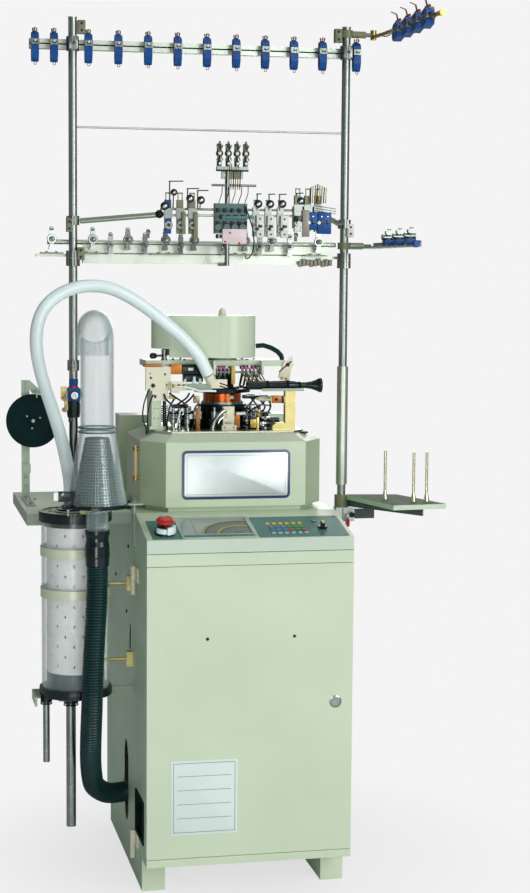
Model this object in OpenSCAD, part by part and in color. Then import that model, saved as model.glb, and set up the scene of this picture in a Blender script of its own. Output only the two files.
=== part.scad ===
// Sock knitting machine: cabinet, knitting head, lint filter, sock funnel and yarn creel.
// Millimetres. +X is to the operator's right, +Y to the back, +Z up. Sizes are laid out from
// the cabinet's centre line, the door's face and the floor; placed() moves them to the origin.

/* [Cabinet] */
// Width of the cabinet
cab_w = 560; // [520:1:640]
// Depth of the swinging control box at the front
front_d = 213; // [200:1:230]
// Depth of the main cabinet behind it
main_d = 616; // [570:1:680]
// Gap at the seam between the control box and the main cabinet
seam_gap = 3; // [2:0.5:5]
// Thickness of the cabinet's sheet metal
sheet = 3; // [2:0.5:4]
// Height of the two skids
skid_h = 89; // [70:1:110]
// Width of one skid
skid_w = 63; // [50:1:80]
// Distance the skids stand back at the front and rear
skid_setback = 83; // [60:1:110]
// Height of the control box's bottom rail
rail_h = 22; // [16:1:30]
// Height of the front door's opening
door_h = 789; // [700:1:850]
// Depth of the folded door
door_t = 20; // [16:1:24]
// Height of the plain band over the door
band_h = 33; // [25:1:40]
// Height of the console's front lip
lip_h = 37; // [30:1:45]
// Rise of the console from its lip to the deck
console_rise = 45; // [30:1:60]
// Height of the electrical housing behind the head
rear_box_h = 228; // [180:1:260]
// Depth of the electrical housing
rear_box_d = 100; // [80:1:130]

/* [Knitting head] */
// Distance of the needle cylinder's axis from the front door
head_y = 434; // [420:1:450]
// Outer radius of the needle cylinder
cyl_r = 47.6; // [44:0.1:50]
// Number of needle tricks cut in the cylinder
needle_count = 60; // [36:4:96]
// Width of one needle trick
trick_w = 1.6; // [1:0.1:2]
// Depth of one needle trick
trick_depth = 2; // [1:0.1:3]
// Distance across the gear housing's flats
housing_af = 432; // [420:1:450]
// Width of the gear housing's front face
housing_face_w = 392; // [360:1:400]
// Width over the gear housing's sides
housing_w = 512; // [500:1:530]
// Height of the gear housing's walls
housing_wall_h = 178; // [150:1:200]
// Height of the bevel round its top
housing_bevel_h = 21; // [15:1:25]
// Height of the housing's recessed foot
housing_foot_h = 13; // [10:1:20]
// Height of the cam box on the machine plate
cam_box_h = 66; // [60:1:72]
// Outer radius of the cam box
cam_box_r = 69; // [64:1:74]
// Underside of the bridge above the machine plate
bridge_rise = 175; // [165:1:190]
// Thickness of the bridge
bridge_t = 17; // [12:1:20]
// Radius of the drum cover round the dial's drive
drum_r = 94; // [85:1:98]
// Height of the drum cover
drum_h = 117; // [100:1:130]

/* [Lint filter and sock funnel] */
// Radius of the clear filter tube
filter_r = 91.5; // [85:0.5:94]
// Length of the filter tube between its caps
filter_h = 450; // [400:1:470]
// Underside of the filter's lower cap above the floor
filter_z = 531; // [500:1:560]
// Wall of the clear tubes
clear_wall = 3; // [2:0.5:4]
// Outer radius of the funnel at its base
funnel_r = 78; // [70:1:82]
// Outer radius of the funnel at its top
funnel_top_r = 43.5; // [40:0.5:48]
// Height of the funnel
funnel_h = 189; // [170:1:210]
// Underside of the funnel's base ring above the floor
funnel_z = 1054; // [1045:1:1070]
// Outer radius of the corrugated suction hose
suction_r = 29; // [26:0.5:30]
// Outer radius of the white hose
white_r = 17.5; // [14:0.5:18]

/* [Tables and creel] */
// Height of the side tables above the floor
table_z = 1010; // [990:1:1011]
// Width of the left table
left_table_w = 289; // [270:1:310]
// Depth of the left table
left_table_d = 505; // [480:1:520]
// Edge height of the left table
table_edge = 32; // [20:1:40]
// Length of the right table's inner edge
right_table_l = 291; // [240:1:310]
// Width of the right table at its front
right_table_w = 163; // [140:1:180]
// Angle at which the right table stands
right_table_angle = 14; // [0:1:20]
// Radius of the creel posts
post_r = 12.3; // [10:0.1:14]
// Left post's distance from the centre line
post_left = 408; // [400:1:420]
// Right post's distance from the centre line
post_right = 397; // [385:1:410]
// Distance of the posts from the front door
post_y = 594; // [580:1:610]
// Height of the posts' tops above the floor
post_top = 2388; // [2300:1:2450]
// Height of the top rail's centre above the floor
top_rail_z = 2316; // [2250:1:2330]
// Height of the upper side arm above the floor
upper_arm_z = 2370; // [2366:1:2372]
// Height of the lower side arm above the floor
lower_arm_z = 1752; // [1740:1:1765]
// Height of the thick middle rail above the floor
thick_rail_z = 1708; // [1700:1:1712]
// Height of the thin middle rail above the floor
thin_rail_z = 1755; // [1750:1:1760]
// Number of thread detectors along the top rail
detector_count = 10; // [6:1:10]
// Distance between two thread detectors
detector_pitch = 86; // [60:1:90]

/* [Hidden] */
$fn = 48;
running = 0.05;  // radial clearance of every shaft in its bore
gap = 0.3;  // clearance between curved faces of different bodies
seat = 0.3;  // gap left where one moving piece rests on another
touch = 0.1;  // gap left where two fixed faces lie on each other
through = 1;  // how far a cutting shape runs past the face it cuts

// Paint, metal and plastic colours
green = [0.76, 0.84, 0.74];
pale_green = [0.8, 0.87, 0.78];
steel = [0.75, 0.77, 0.77];
chrome = [0.85, 0.86, 0.87];
brass = [0.82, 0.7, 0.38];
bronze = [0.74, 0.38, 0.14];
cream = [0.92, 0.9, 0.78];
black = [0.08, 0.1, 0.1];
blue = [0.08, 0.22, 0.62];
clear = [0.85, 0.92, 0.92, 0.35];
white = [0.88, 0.94, 0.94];

half_w = cab_w / 2;
main_y = front_d + seam_gap;
back_y = main_y + main_d;
box_gap = 1;
box_z = skid_h + box_gap;
door_z = skid_h + rail_h;
band_z = door_z + door_h;
console_z = band_z + band_h;
lip_z = console_z + lip_h;
deck_z = lip_z + console_rise;
door_gap = 1.5;

// The whole machine's corners, which set the origin
table_in = 8;  // inner edge of the right table from the post's axis
table_skew = 23;  // how far its front edge slopes
table_far_x = post_right + (table_in + right_table_w) * cos(right_table_angle)
              + (right_table_l + table_in + table_skew) * sin(right_table_angle);
reel_at = [-523, 617, 1238.2];
reel_r = 77.8;
side_x_min = -half_w - left_table_w - seat;
side_x_max = table_far_x;
arm_reach = 670;
arm_front_y = post_y - arm_reach;
centre_x = (reel_at.x - reel_r + side_x_max) / 2;
cover_t = 2;  // rear cover plate, outside the back
screw_h = 2;
centre_y = (arm_front_y + back_y + cover_t + screw_h) / 2;

module placed() translate([-centre_x, -centre_y, 0]) children();

// A box given by its two corners
module span(a, b) translate(a) cube([b.x - a.x, b.y - a.y, b.z - a.z]);

// A ring standing on z = 0
module ring(r_out, r_in, h) difference() {
    cylinder(r = r_out, h = h);
    translate([0, 0, -through]) cylinder(r = r_in, h = h + 2 * through);
}

// A round bar between two points
module bar(a, b, r) {
    v = b - a;
    translate(a) rotate([0, acos(v.z / norm(v)), atan2(v.y, v.x)]) cylinder(r = r, h = norm(v));
}

// A flat plate with rounded corners, standing on z = 0
module round_plate(w, d, h, r) linear_extrude(h) round_rect(w, d, r);

module round_rect(w, d, r) {
    square([w - 2 * r, d], center = true);
    square([w, d - 2 * r], center = true);
    for (x = [-1, 1], y = [-1, 1]) translate([x * (w / 2 - r), y * (d / 2 - r)]) circle(r = r);
}

// A slot with round ends, long along y
module slot2d(w, l) {
    square([w, l - w], center = true);
    for (y = [-1, 1]) translate([0, y * (l - w) / 2]) circle(d = w);
}

// The outline round two circles of different size, joined by their common tangents
tuck = 0.998;  // the straight sides start this share of the radius out
module belt2d(r1, r2, d) {
    a = asin((r1 - r2) / d);
    n = tuck * [sin(a), cos(a)];
    circle(r = r1);
    translate([d, 0]) circle(r = r2);
    polygon([[r1 * n.x, r1 * n.y], [d + r2 * n.x, r2 * n.y],
             [d + r2 * n.x, -r2 * n.y], [r1 * n.x, -r1 * n.y]]);
}

// A bent wire through its points
module wire(p, r) {
    for (i = [0:len(p) - 2]) bar(p[i], p[i + 1], r);
    for (i = [1:len(p) - 2]) translate(p[i]) rotate([90, 0, 0]) sphere(r = r * 1.2);
}

// A hose swept along its route, one ring of facets at each point
function tangent(p, i) = let (a = p[max(i - 1, 0)], b = p[min(i + 1, len(p) - 1)]) (b - a) / norm(b - a);
function sweep_ring(p, i, r, n) = let (
    t = tangent(p, i),
    side = cross(t, [0, 1, 0.2]),
    u = side / norm(side),
    v = cross(u, t)
) [for (k = [0:n - 1]) p[i] + r * (cos(360 * k / n) * u + sin(360 * k / n) * v)];
module hose(p, r, n) {
    rings = [for (i = [0:len(p) - 1]) each sweep_ring(p, i, r, n)];
    last = (len(p) - 1) * n;
    walls = [for (i = [0:len(p) - 2], k = [0:n - 1])
        [i * n + k, i * n + (k + 1) % n, (i + 1) * n + (k + 1) % n, (i + 1) * n + k]];
    polyhedron(rings, concat(walls, [[for (k = [n - 1:-1:0]) k]], [[for (k = [0:n - 1]) last + k]]));
}

// ---- Cabinet, control box and door ----

hinge_r = 7.5;
hinge_pin_r = 4;
hinge_out = 8;
hinge_x = -half_w - hinge_out;
hinge_y = front_d - hinge_out;
hinge_h = 78;
hinge_half = 38;
hinge_leaf = 50;
hinge_zs = [skid_h - 33, band_z - 107];
frame_w = 24;
shaft_hole_r = 40;
hose_slot = [403, 222, 100, 234];  // y and z of its middle, width, height
small_slot = [328, 653, 48, 78];
cover_w = 460;
cover_z = [170, 950];
screw_r = 5;

// A profile drawn in the YZ plane, extruded along +X from x
module on_side(x, y, z, h) translate([x, y, z]) rotate([90, 0, 90]) linear_extrude(h) children();

// A profile drawn in the XZ plane, extruded towards the front from y
module on_front(x, y, z, h) translate([x, y, z]) rotate([90, 0, 0]) linear_extrude(h) children();

module side_slot(s) on_side(-half_w - through, s[0], s[1], sheet + 2 * through) slot2d(s[2], s[3]);

// The half of a lift-off hinge that carries the pin, and its leaf on the main cabinet
module fixed_hinge(z) {
    translate([hinge_x, hinge_y, z]) cylinder(r = hinge_r, h = hinge_half);
    translate([hinge_x, hinge_y, z]) cylinder(r = hinge_pin_r, h = hinge_h - sheet);
    span([-half_w - sheet - gap, hinge_y, z], [-half_w - gap, main_y, z + hinge_half]);
    span([-half_w - sheet - gap, main_y, z], [-half_w, main_y + hinge_leaf, z + hinge_half]);
}

// The half that turns with the control box
module moving_hinge(z) difference() {
    union() {
        translate([hinge_x, hinge_y, z + hinge_half + seat]) cylinder(r = hinge_r, h = hinge_h - hinge_half);
        span([-half_w - sheet, hinge_y - hinge_leaf, z + hinge_half + seat],
             [-half_w, hinge_y, z + hinge_h + seat]);
    }
    translate([hinge_x, hinge_y, z]) cylinder(r = hinge_pin_r + running, h = hinge_h + 2 * through);
}

module base_cabinet() placed() color(green) {
    difference() {
        span([-half_w, main_y, skid_h], [half_w, back_y, deck_z]);
        span([-half_w + sheet, main_y - through, skid_h + sheet],
             [half_w - sheet, back_y - sheet, deck_z - sheet]);
        side_slot(hose_slot);
        side_slot(small_slot);
        span([-cover_w / 2, back_y - sheet - through, cover_z[0]],
             [cover_w / 2, back_y + through, cover_z[1]]);
        translate([0, head_y, deck_z - sheet - through]) cylinder(r = shaft_hole_r, h = sheet + 2 * through);
    }
    // Folded rim round the open front
    difference() {
        span([-half_w + sheet, main_y, skid_h + sheet], [half_w - sheet, main_y + sheet, deck_z - sheet]);
        span([-half_w + frame_w, main_y - through, skid_h + frame_w],
             [half_w - frame_w, main_y + sheet + through, deck_z - frame_w]);
    }
    for (z = hinge_zs) fixed_hinge(z);
}

// Two folded channels, open underneath
module base_skids() placed() color(green) for (side = [-1, 1]) {
    x = side * (half_w - skid_w / 2);
    difference() {
        span([x - skid_w / 2, skid_setback, 0], [x + skid_w / 2, back_y - skid_setback, skid_h]);
        span([x - skid_w / 2 + sheet, skid_setback + sheet, -through],
             [x + skid_w / 2 - sheet, back_y - skid_setback - sheet, skid_h - sheet]);
    }
}

louvre_pitch = 45;
module rear_cover() placed() color(green) {
    mid_z = (cover_z[0] + cover_z[1]) / 2;
    overlap = 12;
    w = cover_w + 2 * overlap;
    h = cover_z[1] - cover_z[0] + 2 * overlap;
    difference() {
        on_front(0, back_y + cover_t, mid_z, cover_t) round_rect(w, h, 8);
        for (x = [-1, 1], k = [0:7])
            on_front(x * 110, back_y + cover_t + through, mid_z - 260 + k * louvre_pitch, cover_t + 2 * through)
                rotate(90) slot2d(8, 150);
    }
    for (x = [-1, 1], z = [-1, 0, 1])
        translate([x * (w / 2 - 7), back_y + cover_t + screw_h, mid_z + z * (h / 2 - 14)])
            rotate([90, 0, 0]) cylinder(r = screw_r, h = screw_h);
}

rear_box_w = 510;
module rear_housing() placed() color(green) difference() {
    span([-rear_box_w / 2, back_y - rear_box_d, deck_z], [rear_box_w / 2, back_y, deck_z + rear_box_h]);
    span([-rear_box_w / 2 + sheet, back_y - rear_box_d + sheet, deck_z - through],
         [rear_box_w / 2 - sheet, back_y - sheet, deck_z + rear_box_h - sheet]);
}

grille_y = [52, 198];
grille_z = [140, 250];
door_back = 3;  // gap behind the folded door
door_pivot_x = -half_w + 7;
door_pivot_y = door_t / 2;
door_pin_r = 3;
door_hinge_zs = [door_z + 90, band_z - 140];
door_arm_h = 5;
door_pin_h = 26;
wall_y = door_t + door_back;

module control_box() placed() color(green) {
    difference() {
        span([-half_w, 0, box_z], [half_w, front_d, console_z]);
        span([-half_w - through, -through, door_z], [half_w + through, wall_y, band_z]);
        span([-half_w + sheet, wall_y + sheet, box_z + sheet],
             [half_w - sheet, front_d - sheet, console_z - sheet]);
        span([-half_w + frame_w, 0, door_z + frame_w],
             [half_w - frame_w, wall_y + sheet + through, band_z - frame_w]);
        span([-half_w - through, grille_y[0], grille_z[0]],
             [-half_w + sheet + through, grille_y[1], grille_z[1]]);
        translate([half_w / 2, front_d - sheet - through, console_z - 120]) rotate([-90, 0, 0])
            cylinder(r = 30, h = sheet + 2 * through);
        // Room for the console's controls
        span([-half_w + frame_w, wall_y + frame_w, console_z - sheet - through],
             [half_w - frame_w, front_d - frame_w, console_z + through]);
    }
    for (z = hinge_zs) moving_hinge(z);
    // Arms with upright pins for the door
    for (z = door_hinge_zs) {
        span([door_pivot_x - door_pin_r, door_pivot_y - door_pin_r, z],
             [door_pivot_x + door_pin_r, wall_y + sheet, z + door_arm_h]);
        translate([door_pivot_x, door_pivot_y, z]) cylinder(r = door_pin_r, h = door_arm_h + door_pin_h);
    }
}

lock_x = half_w - 47;
lock_z = 521;
lock_r = 9;
bump_x = 118;  // two small holes for the door's rubber bumpers
bump_z = 704;
knuckle = 15;

module front_door() placed() color(pale_green) {
    z0 = door_z + door_gap;
    z1 = band_z - door_gap;
    difference() {
        union() {
            difference() {
                span([-half_w, 0, z0], [half_w, door_t, z1]);
                span([-half_w + sheet, sheet, z0 + sheet], [half_w - sheet, door_t + through, z1 - sheet]);
            }
            // Blocks that turn on the pins
            for (z = door_hinge_zs)
                span([-half_w + sheet, sheet, z + door_arm_h + seat],
                     [-half_w + sheet + knuckle, door_t - 2, z + door_arm_h + door_pin_h]);
            // Boss behind the lock
            translate([lock_x, door_t, lock_z]) rotate([90, 0, 0]) cylinder(r = lock_r + 5, h = door_t - sheet);
        }
        for (z = door_hinge_zs) {
            translate([door_pivot_x, door_pivot_y, z])
                cylinder(r = door_pin_r + running, h = door_pin_h + door_arm_h + 2 * through);
            span([-half_w - through, door_pivot_y - 5, z - through],
                 [-half_w + sheet + through, door_t + through, z + door_arm_h + through]);
        }
        translate([lock_x, door_t + through, lock_z]) rotate([90, 0, 0])
            cylinder(r = lock_r + running, h = door_t + 2 * through);
        for (x = [-bump_x, bump_x]) translate([x, sheet + through, bump_z]) rotate([90, 0, 0])
            cylinder(r = 2.5, h = sheet + 2 * through);
    }
}

// Quarter-turn lock: round face, barrel, and the cam behind the door
cam_l = 36;
cam_t = 3;
cam_gap = 2.5;  // the cam passes this far behind the door frame
cam_y = wall_y + sheet + cam_gap;
module door_lock() placed() color(chrome) translate([lock_x, 0, lock_z]) rotate([-90, 0, 0]) {
    difference() {
        translate([0, 0, -2.5]) cylinder(r = 13, h = 2.5 - seat);
        translate([0, 0, -4]) rotate(90) linear_extrude(3) slot2d(2, 8);
    }
    translate([0, 0, -seat]) cylinder(r = lock_r, h = cam_y + cam_t + seat);
    translate([-8, 0, cam_y]) cube([16, cam_l, cam_t]);
}

module side_grille() placed() color(black) {
    mid = [(grille_y[0] + grille_y[1]) / 2, (grille_z[0] + grille_z[1]) / 2];
    w = grille_y[1] - grille_y[0];
    h = grille_z[1] - grille_z[0];
    rim = 5;
    slats = 9;
    difference() {
        on_side(-half_w - 3, mid.x, mid.y, 3) round_rect(w + 2 * rim, h + 2 * rim, 6);
        on_side(-half_w - 3 - through, mid.x, mid.y, 3 + 2 * through) square([w - 2 * rim, h - 2 * rim], center = true);
    }
    difference() {
        on_side(-half_w, mid.x, mid.y, 8) square([w - 2 * seat, h - 2 * seat], center = true);
        on_side(-half_w - through, mid.x, mid.y, 8 + 2 * through) square([w - 2 * rim, h - 2 * rim], center = true);
    }
    for (k = [0:slats - 1])
        translate([-half_w + 3, mid.x - w / 2 + rim - through, mid.y - h / 2 + rim + (k + 0.5) * (h - 2 * rim) / slats])
            rotate([0, 35, 0]) cube([9, w - 2 * rim + 2 * through, 1.6]);
}

// Mounting plate with the controller, the drives and the supply
module electrics() placed() color(steel) {
    y = front_d - sheet - seat;
    plate_t = 2;
    span([-230, y - plate_t, door_z + 60], [230, y, band_z - 60]);
    boxes = [[-200, 640, 180, 150, 60], [20, 640, 180, 150, 45], [-200, 430, 110, 160, 90],
             [-70, 430, 110, 160, 90], [60, 430, 130, 160, 70], [-200, 250, 240, 120, 50], [70, 250, 130, 120, 60]];
    for (b = boxes) span([b[0], y - plate_t - b[4], b[1]], [b[0] + b[2], y - plate_t, b[1] + b[3]]);
    for (z = [402, 608]) span([-210, y - plate_t - 28, z], [205, y - plate_t, z + 20]);
}

// ---- Console ----

slope = atan(console_rise / front_d);
estop_at = [-226, 50];
knob_at = [208, 66];
estop_shaft_r = 8;
knob_shaft_r = 3;
collar_h = 24;
estop_travel = 6;
panel_t = 1.2;

// Work on the console's sloping face: x across, s up the slope, z off the face
module on_slope(x, s) translate([0, 0, lip_z]) rotate([slope, 0, 0]) translate([x, s, 0]) children();

module console() placed() color(green) difference() {
    on_side(-half_w, 0, 0, cab_w)
        polygon([[0, console_z], [front_d, console_z], [front_d, deck_z], [0, lip_z]]);
    on_side(-half_w + sheet, 0, 0, cab_w - 2 * sheet)
        polygon([[sheet, console_z - through], [front_d - sheet, console_z - through],
                 [front_d - sheet, deck_z - sheet], [sheet, lip_z - sheet]]);
    on_slope(estop_at.x, estop_at.y) translate([0, 0, -10]) cylinder(r = 12, h = 20);
    on_slope(knob_at.x, knob_at.y) translate([0, 0, -10]) cylinder(r = 5, h = 20);
}

// Switch panel with the stop button's collar, window panel and key panel
module console_panels() placed() color(black) {
    difference() {
        union() {
            on_slope(-217, 78) round_plate(92, 145, panel_t, 4);
            on_slope(estop_at.x, estop_at.y) cylinder(r = 22, h = collar_h);
        }
        on_slope(estop_at.x, estop_at.y) translate([0, 0, -through])
            cylinder(r = estop_shaft_r + running, h = collar_h + 2 * through);
    }
    difference() {
        on_slope(-84, 86) round_plate(204, 158, 4, 5);
        on_slope(-66, 92) translate([0, 0, 2]) round_plate(150, 126, 4, 4);
    }
    difference() {
        on_slope(146, 84) round_plate(246, 158, panel_t, 4);
        on_slope(knob_at.x, knob_at.y) translate([0, 0, -through]) cylinder(r = knob_shaft_r + running, h = 20);
    }
}

module estop_button() placed() color("red") on_slope(estop_at.x, estop_at.y) {
    translate([0, 0, collar_h + estop_travel + through]) rotate_extrude()
        polygon([[0, 0], [20, 0], [24, 3], [24, 8], [20, 12], [8, 13.5], [0, 13.5]]);
    cylinder(r = estop_shaft_r, h = collar_h + estop_travel + 2 * through);
}

module selector_knob() placed() color(black) on_slope(knob_at.x, knob_at.y) {
    cylinder(r = knob_shaft_r, h = 8);
    translate([0, 0, panel_t + seat]) {
        cylinder(r = 12, h = 6);
        intersection() {
            cylinder(r = 12, h = 17);
            translate([-4, -12, 0]) cube([8, 24, 17]);
        }
    }
}

// ---- Drive inside the cabinet ----

pulley_z = 955;
pulley_h = 26;
main_pulley_r = 92;
motor_pulley_r = 32;
belt_t = 4;
motor_x = 178;
motor_shaft_r = 9;
flange_t = 4;

module motor_place() translate([motor_x, head_y, 0]) children();

// Servo motor, hung from the deck by four stand-offs
module drive_motor() placed() color(black) motor_place() {
    motor_w = 110;
    motor_h = 160;
    flange_z = pulley_z - 20;
    difference() {
        union() {
            translate([-motor_w / 2, -motor_w / 2, flange_z - motor_h]) cube([motor_w, motor_w, motor_h - 12]);
            translate([-60, -80, flange_z - 12]) cube([120, 160, 12]);
        }
        translate([0, 0, flange_z - 60]) cylinder(r = motor_shaft_r + running, h = 60 + through);
    }
    for (x = [-1, 1], y = [-1, 1]) translate([x * 50, y * 71, flange_z - 12])
        cylinder(r = 6, h = deck_z - sheet - flange_z + 12);
}

module motor_pulley() placed() color(steel) motor_place() {
    translate([0, 0, pulley_z - 60]) cylinder(r = motor_shaft_r, h = 60 + pulley_h);
    translate([0, 0, pulley_z]) cylinder(r = motor_pulley_r, h = pulley_h);
    for (z = [pulley_z - flange_t, pulley_z + pulley_h])
        translate([0, 0, z]) cylinder(r = motor_pulley_r + 6, h = flange_t);
}

// Belt round both pulleys: arcs of short steps, joined by straight runs
belt_steps = 24;
function belt_loop(r1, r2, d) = let (a = asin((r1 - r2) / d)) concat(
    [for (k = [0:belt_steps]) let (w = 90 - a + k * (180 + 2 * a) / belt_steps) r1 * [cos(w), sin(w)]],
    [for (k = [0:belt_steps]) let (w = a - 90 + k * (180 - 2 * a) / belt_steps) [d, 0] + r2 * [cos(w), sin(w)]]);
module drive_belt() placed() color(black) at_head(pulley_z + 3) linear_extrude(pulley_h - 6) difference() {
    polygon(belt_loop(main_pulley_r + 2 * gap + belt_t, motor_pulley_r + 2 * gap + belt_t, motor_x));
    polygon(belt_loop(main_pulley_r + 2 * gap, motor_pulley_r + 2 * gap, motor_x));
}

// ---- Gear housing and knitting head ----

housing_z = deck_z + housing_foot_h;
bevel_z = housing_z + housing_wall_h;
plate_z = bevel_z + housing_bevel_h;
plate_t = 5;
head_z = plate_z + plate_t;  // top of the machine plate
cap_z = head_z + cam_box_h;  // top of the cam box
bridge_z = head_z + bridge_rise;
chamfer_d = 82;
bevel_in = 50;
housing_wall = 10;
shaft_r = 30;
shaft_bore_r = 22;
dial_shaft_r = 12;

module at_head(z) translate([0, head_y, z]) children();

// The housing's eight-sided outline, moved inwards by i along every face
function chamfer_n() = let (v = [chamfer_d, (housing_w - housing_face_w) / 2]) v / norm(v);
function oct_x(i) = let (n = chamfer_n())
    (n.x * housing_face_w / 2 + n.y * housing_af / 2 - i - n.y * (housing_af / 2 - i)) / n.x;
function oct_y(i) = let (n = chamfer_n())
    (n.x * housing_face_w / 2 + n.y * housing_af / 2 - i - n.x * (housing_w / 2 - i)) / n.y;
module oct2d(i) let (x = housing_w / 2 - i, y = housing_af / 2 - i, a = oct_x(i), b = oct_y(i))
    polygon([[a, -y], [x, -b], [x, b], [a, y], [-a, y], [-x, b], [-x, -b], [-a, -y]]);

module gear_housing() placed() color(green) difference() {
    union() {
        at_head(deck_z) linear_extrude(housing_foot_h + through) oct2d(18);
        at_head(housing_z) linear_extrude(housing_wall_h) oct2d(0);
        hull() {
            at_head(bevel_z - through) linear_extrude(through) oct2d(0);
            at_head(plate_z - through) linear_extrude(through) oct2d(bevel_in);
        }
    }
    at_head(housing_z + housing_wall) linear_extrude(housing_wall_h - 2 * housing_wall) oct2d(housing_wall);
    at_head(bevel_z - housing_wall - through) cylinder(r = 112, h = 60);
    at_head(deck_z - through) cylinder(r = shaft_r + running, h = 30);
}

gauge_at = [-housing_w / 2 - 11, 312, 1108];
gauge_h = 68;
module oil_gauge() placed() color(clear) {
    translate(gauge_at) ring(5.5, 3.5, gauge_h);
    for (z = [0, gauge_h]) translate([gauge_at.x, gauge_at.y, gauge_at.z + z]) {
        translate([0, 0, z == 0 ? -14 : touch]) cylinder(r = 7, h = 14 - touch);
        translate([0, 0, z == 0 ? -7 : 7]) rotate([0, 90, 0])
            cylinder(r = 4, h = -housing_w / 2 - gauge_at.x - touch);
    }
}

module machine_plate() placed() color(steel) difference() {
    at_head(plate_z) linear_extrude(plate_t) oct2d(bevel_in - 4);
    at_head(plate_z - through) cylinder(r = cyl_r + 4, h = plate_t + 2 * through);
}

// Cam box: finned ring round the cylinder, flanged at foot and rim
cam_fins = 16;
module cam_box() placed() color(black) at_head(head_z) difference() {
    union() {
        cylinder(r = cam_box_r - 6, h = cam_box_h);
        cylinder(r = cam_box_r + 8, h = 8);
        translate([0, 0, cam_box_h - 12]) cylinder(r = cam_box_r, h = 12);
        for (k = [0:cam_fins - 1]) rotate(360 / cam_fins * k)
            translate([cam_box_r - 8, -3, 0]) cube([8, 6, cam_box_h]);
    }
    translate([0, 0, -through]) cylinder(r = cyl_r + 1.4, h = cam_box_h + 2 * through);
}

// Sinker ring and its bronze cap
sinker_foot_h = 7;
sinker_cap_h = 23;
module sinker_cap() placed() color(bronze) at_head(cap_z) difference() {
    union() {
        cylinder(r = 60, h = sinker_foot_h);
        cylinder(r = 54, h = sinker_foot_h + sinker_cap_h);
        for (k = [0:5]) rotate(60 * k + 15) translate([57, 0, 0]) cylinder(r = 2.5, h = sinker_foot_h + 3);
    }
    translate([0, 0, -through]) cylinder(r = cyl_r + 1.2, h = sinker_foot_h + sinker_cap_h + 2 * through);
}

// Needle cylinder with its tricks, on its hollow shaft and belt pulley
cyl_top = cap_z + 5;
module needle_cylinder() placed() color(steel) difference() {
    union() {
        at_head(plate_z - 4) cylinder(r = cyl_r, h = cyl_top - plate_z + 4);
        at_head(pulley_z - 8) cylinder(r = shaft_r, h = plate_z - pulley_z + 8);
        at_head(housing_z + housing_wall + gap) cylinder(r = shaft_r + 12, h = 20);
        at_head(pulley_z) cylinder(r = main_pulley_r, h = pulley_h);
        for (z = [pulley_z - flange_t, pulley_z + pulley_h]) at_head(z) cylinder(r = main_pulley_r + 6, h = flange_t);
    }
    at_head(pulley_z - 10) cylinder(r = shaft_bore_r, h = cyl_top);
    at_head(plate_z + 6) cylinder(r = cyl_r - 8, h = cyl_top);
    for (k = [0:needle_count - 1]) at_head(head_z) rotate(360 / needle_count * k)
        translate([cyl_r - trick_depth, -trick_w / 2, 0]) cube([trick_depth + through, trick_w, cyl_top]);
    for (k = [0:5]) at_head(pulley_z - through) rotate(60 * k)
        translate([58, 0, 0]) cylinder(r = 14, h = pulley_h + 2 * through);
}

// Dial with radial slots, hung on its shaft inside the hub
dial_z = cyl_top + 3.5;
dial_t = 8;
dial_slots = needle_count / 2;
hub_top = bridge_z - seat;
module dial() placed() color(steel) at_head(dial_z) difference() {
    union() {
        cylinder(r = cyl_r - 2.6, h = dial_t);
        cylinder(r = 20, h = dial_t + 14);
        cylinder(r = dial_shaft_r, h = bridge_z + bridge_t + 4 - dial_z);
    }
    for (k = [0:dial_slots - 1]) rotate(360 / dial_slots * k)
        translate([24, -trick_w / 2, dial_t - 1.6]) cube([cyl_r, trick_w, 3]);
}

cap_disc_z = cap_z + sinker_foot_h + sinker_cap_h + 4;
module dial_hub() placed() color(black) difference() {
    union() {
        at_head(cap_disc_z) cylinder(r = 80, h = 10);
        at_head(cap_disc_z + 10) cylinder(r = 50, h = 6);
        at_head(cap_disc_z) cylinder(r = 33, h = hub_top - cap_disc_z);
        for (k = [0:7]) at_head(cap_disc_z + 10) rotate(45 * k + 22.5) translate([66, 0, 0]) cylinder(r = 5, h = 6);
    }
    at_head(cap_disc_z - through) cylinder(r = dial_shaft_r + running, h = hub_top);
}

// Bridge plate with the two lugs for the finger shaft under its front edge
bridge_x = [-229, 190];
bridge_y = [-62, 62];
finger_y = head_y - 84;
finger_z = bridge_z - 15;
finger_shaft_r = 3;
finger_shaft_x = [-44, 104];
lug_t = 6;
module bridge_plate() placed() color(green) difference() {
    union() {
        span([bridge_x[0], head_y + bridge_y[0], bridge_z], [bridge_x[1], head_y + bridge_y[1], bridge_z + bridge_t]);
        for (x = [finger_shaft_x[0] + 2, finger_shaft_x[1] - 2 - lug_t])
            span([x, finger_y - 8, finger_z - 8], [x + lug_t, head_y + bridge_y[0] + 12, bridge_z + through]);
        for (x = [finger_shaft_x[0] + 2, finger_shaft_x[1] - 2 - lug_t])
            span([x, finger_y - 8, bridge_z], [x + lug_t, head_y + bridge_y[0] + 1, bridge_z + bridge_t]);
    }
    at_head(bridge_z - through) cylinder(r = dial_shaft_r + 2, h = bridge_t + 2 * through);
    translate([finger_shaft_x[0] - through, finger_y, finger_z]) rotate([0, 90, 0])
        cylinder(r = finger_shaft_r + running, h = finger_shaft_x[1] - finger_shaft_x[0] + 2 * through);
}

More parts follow.
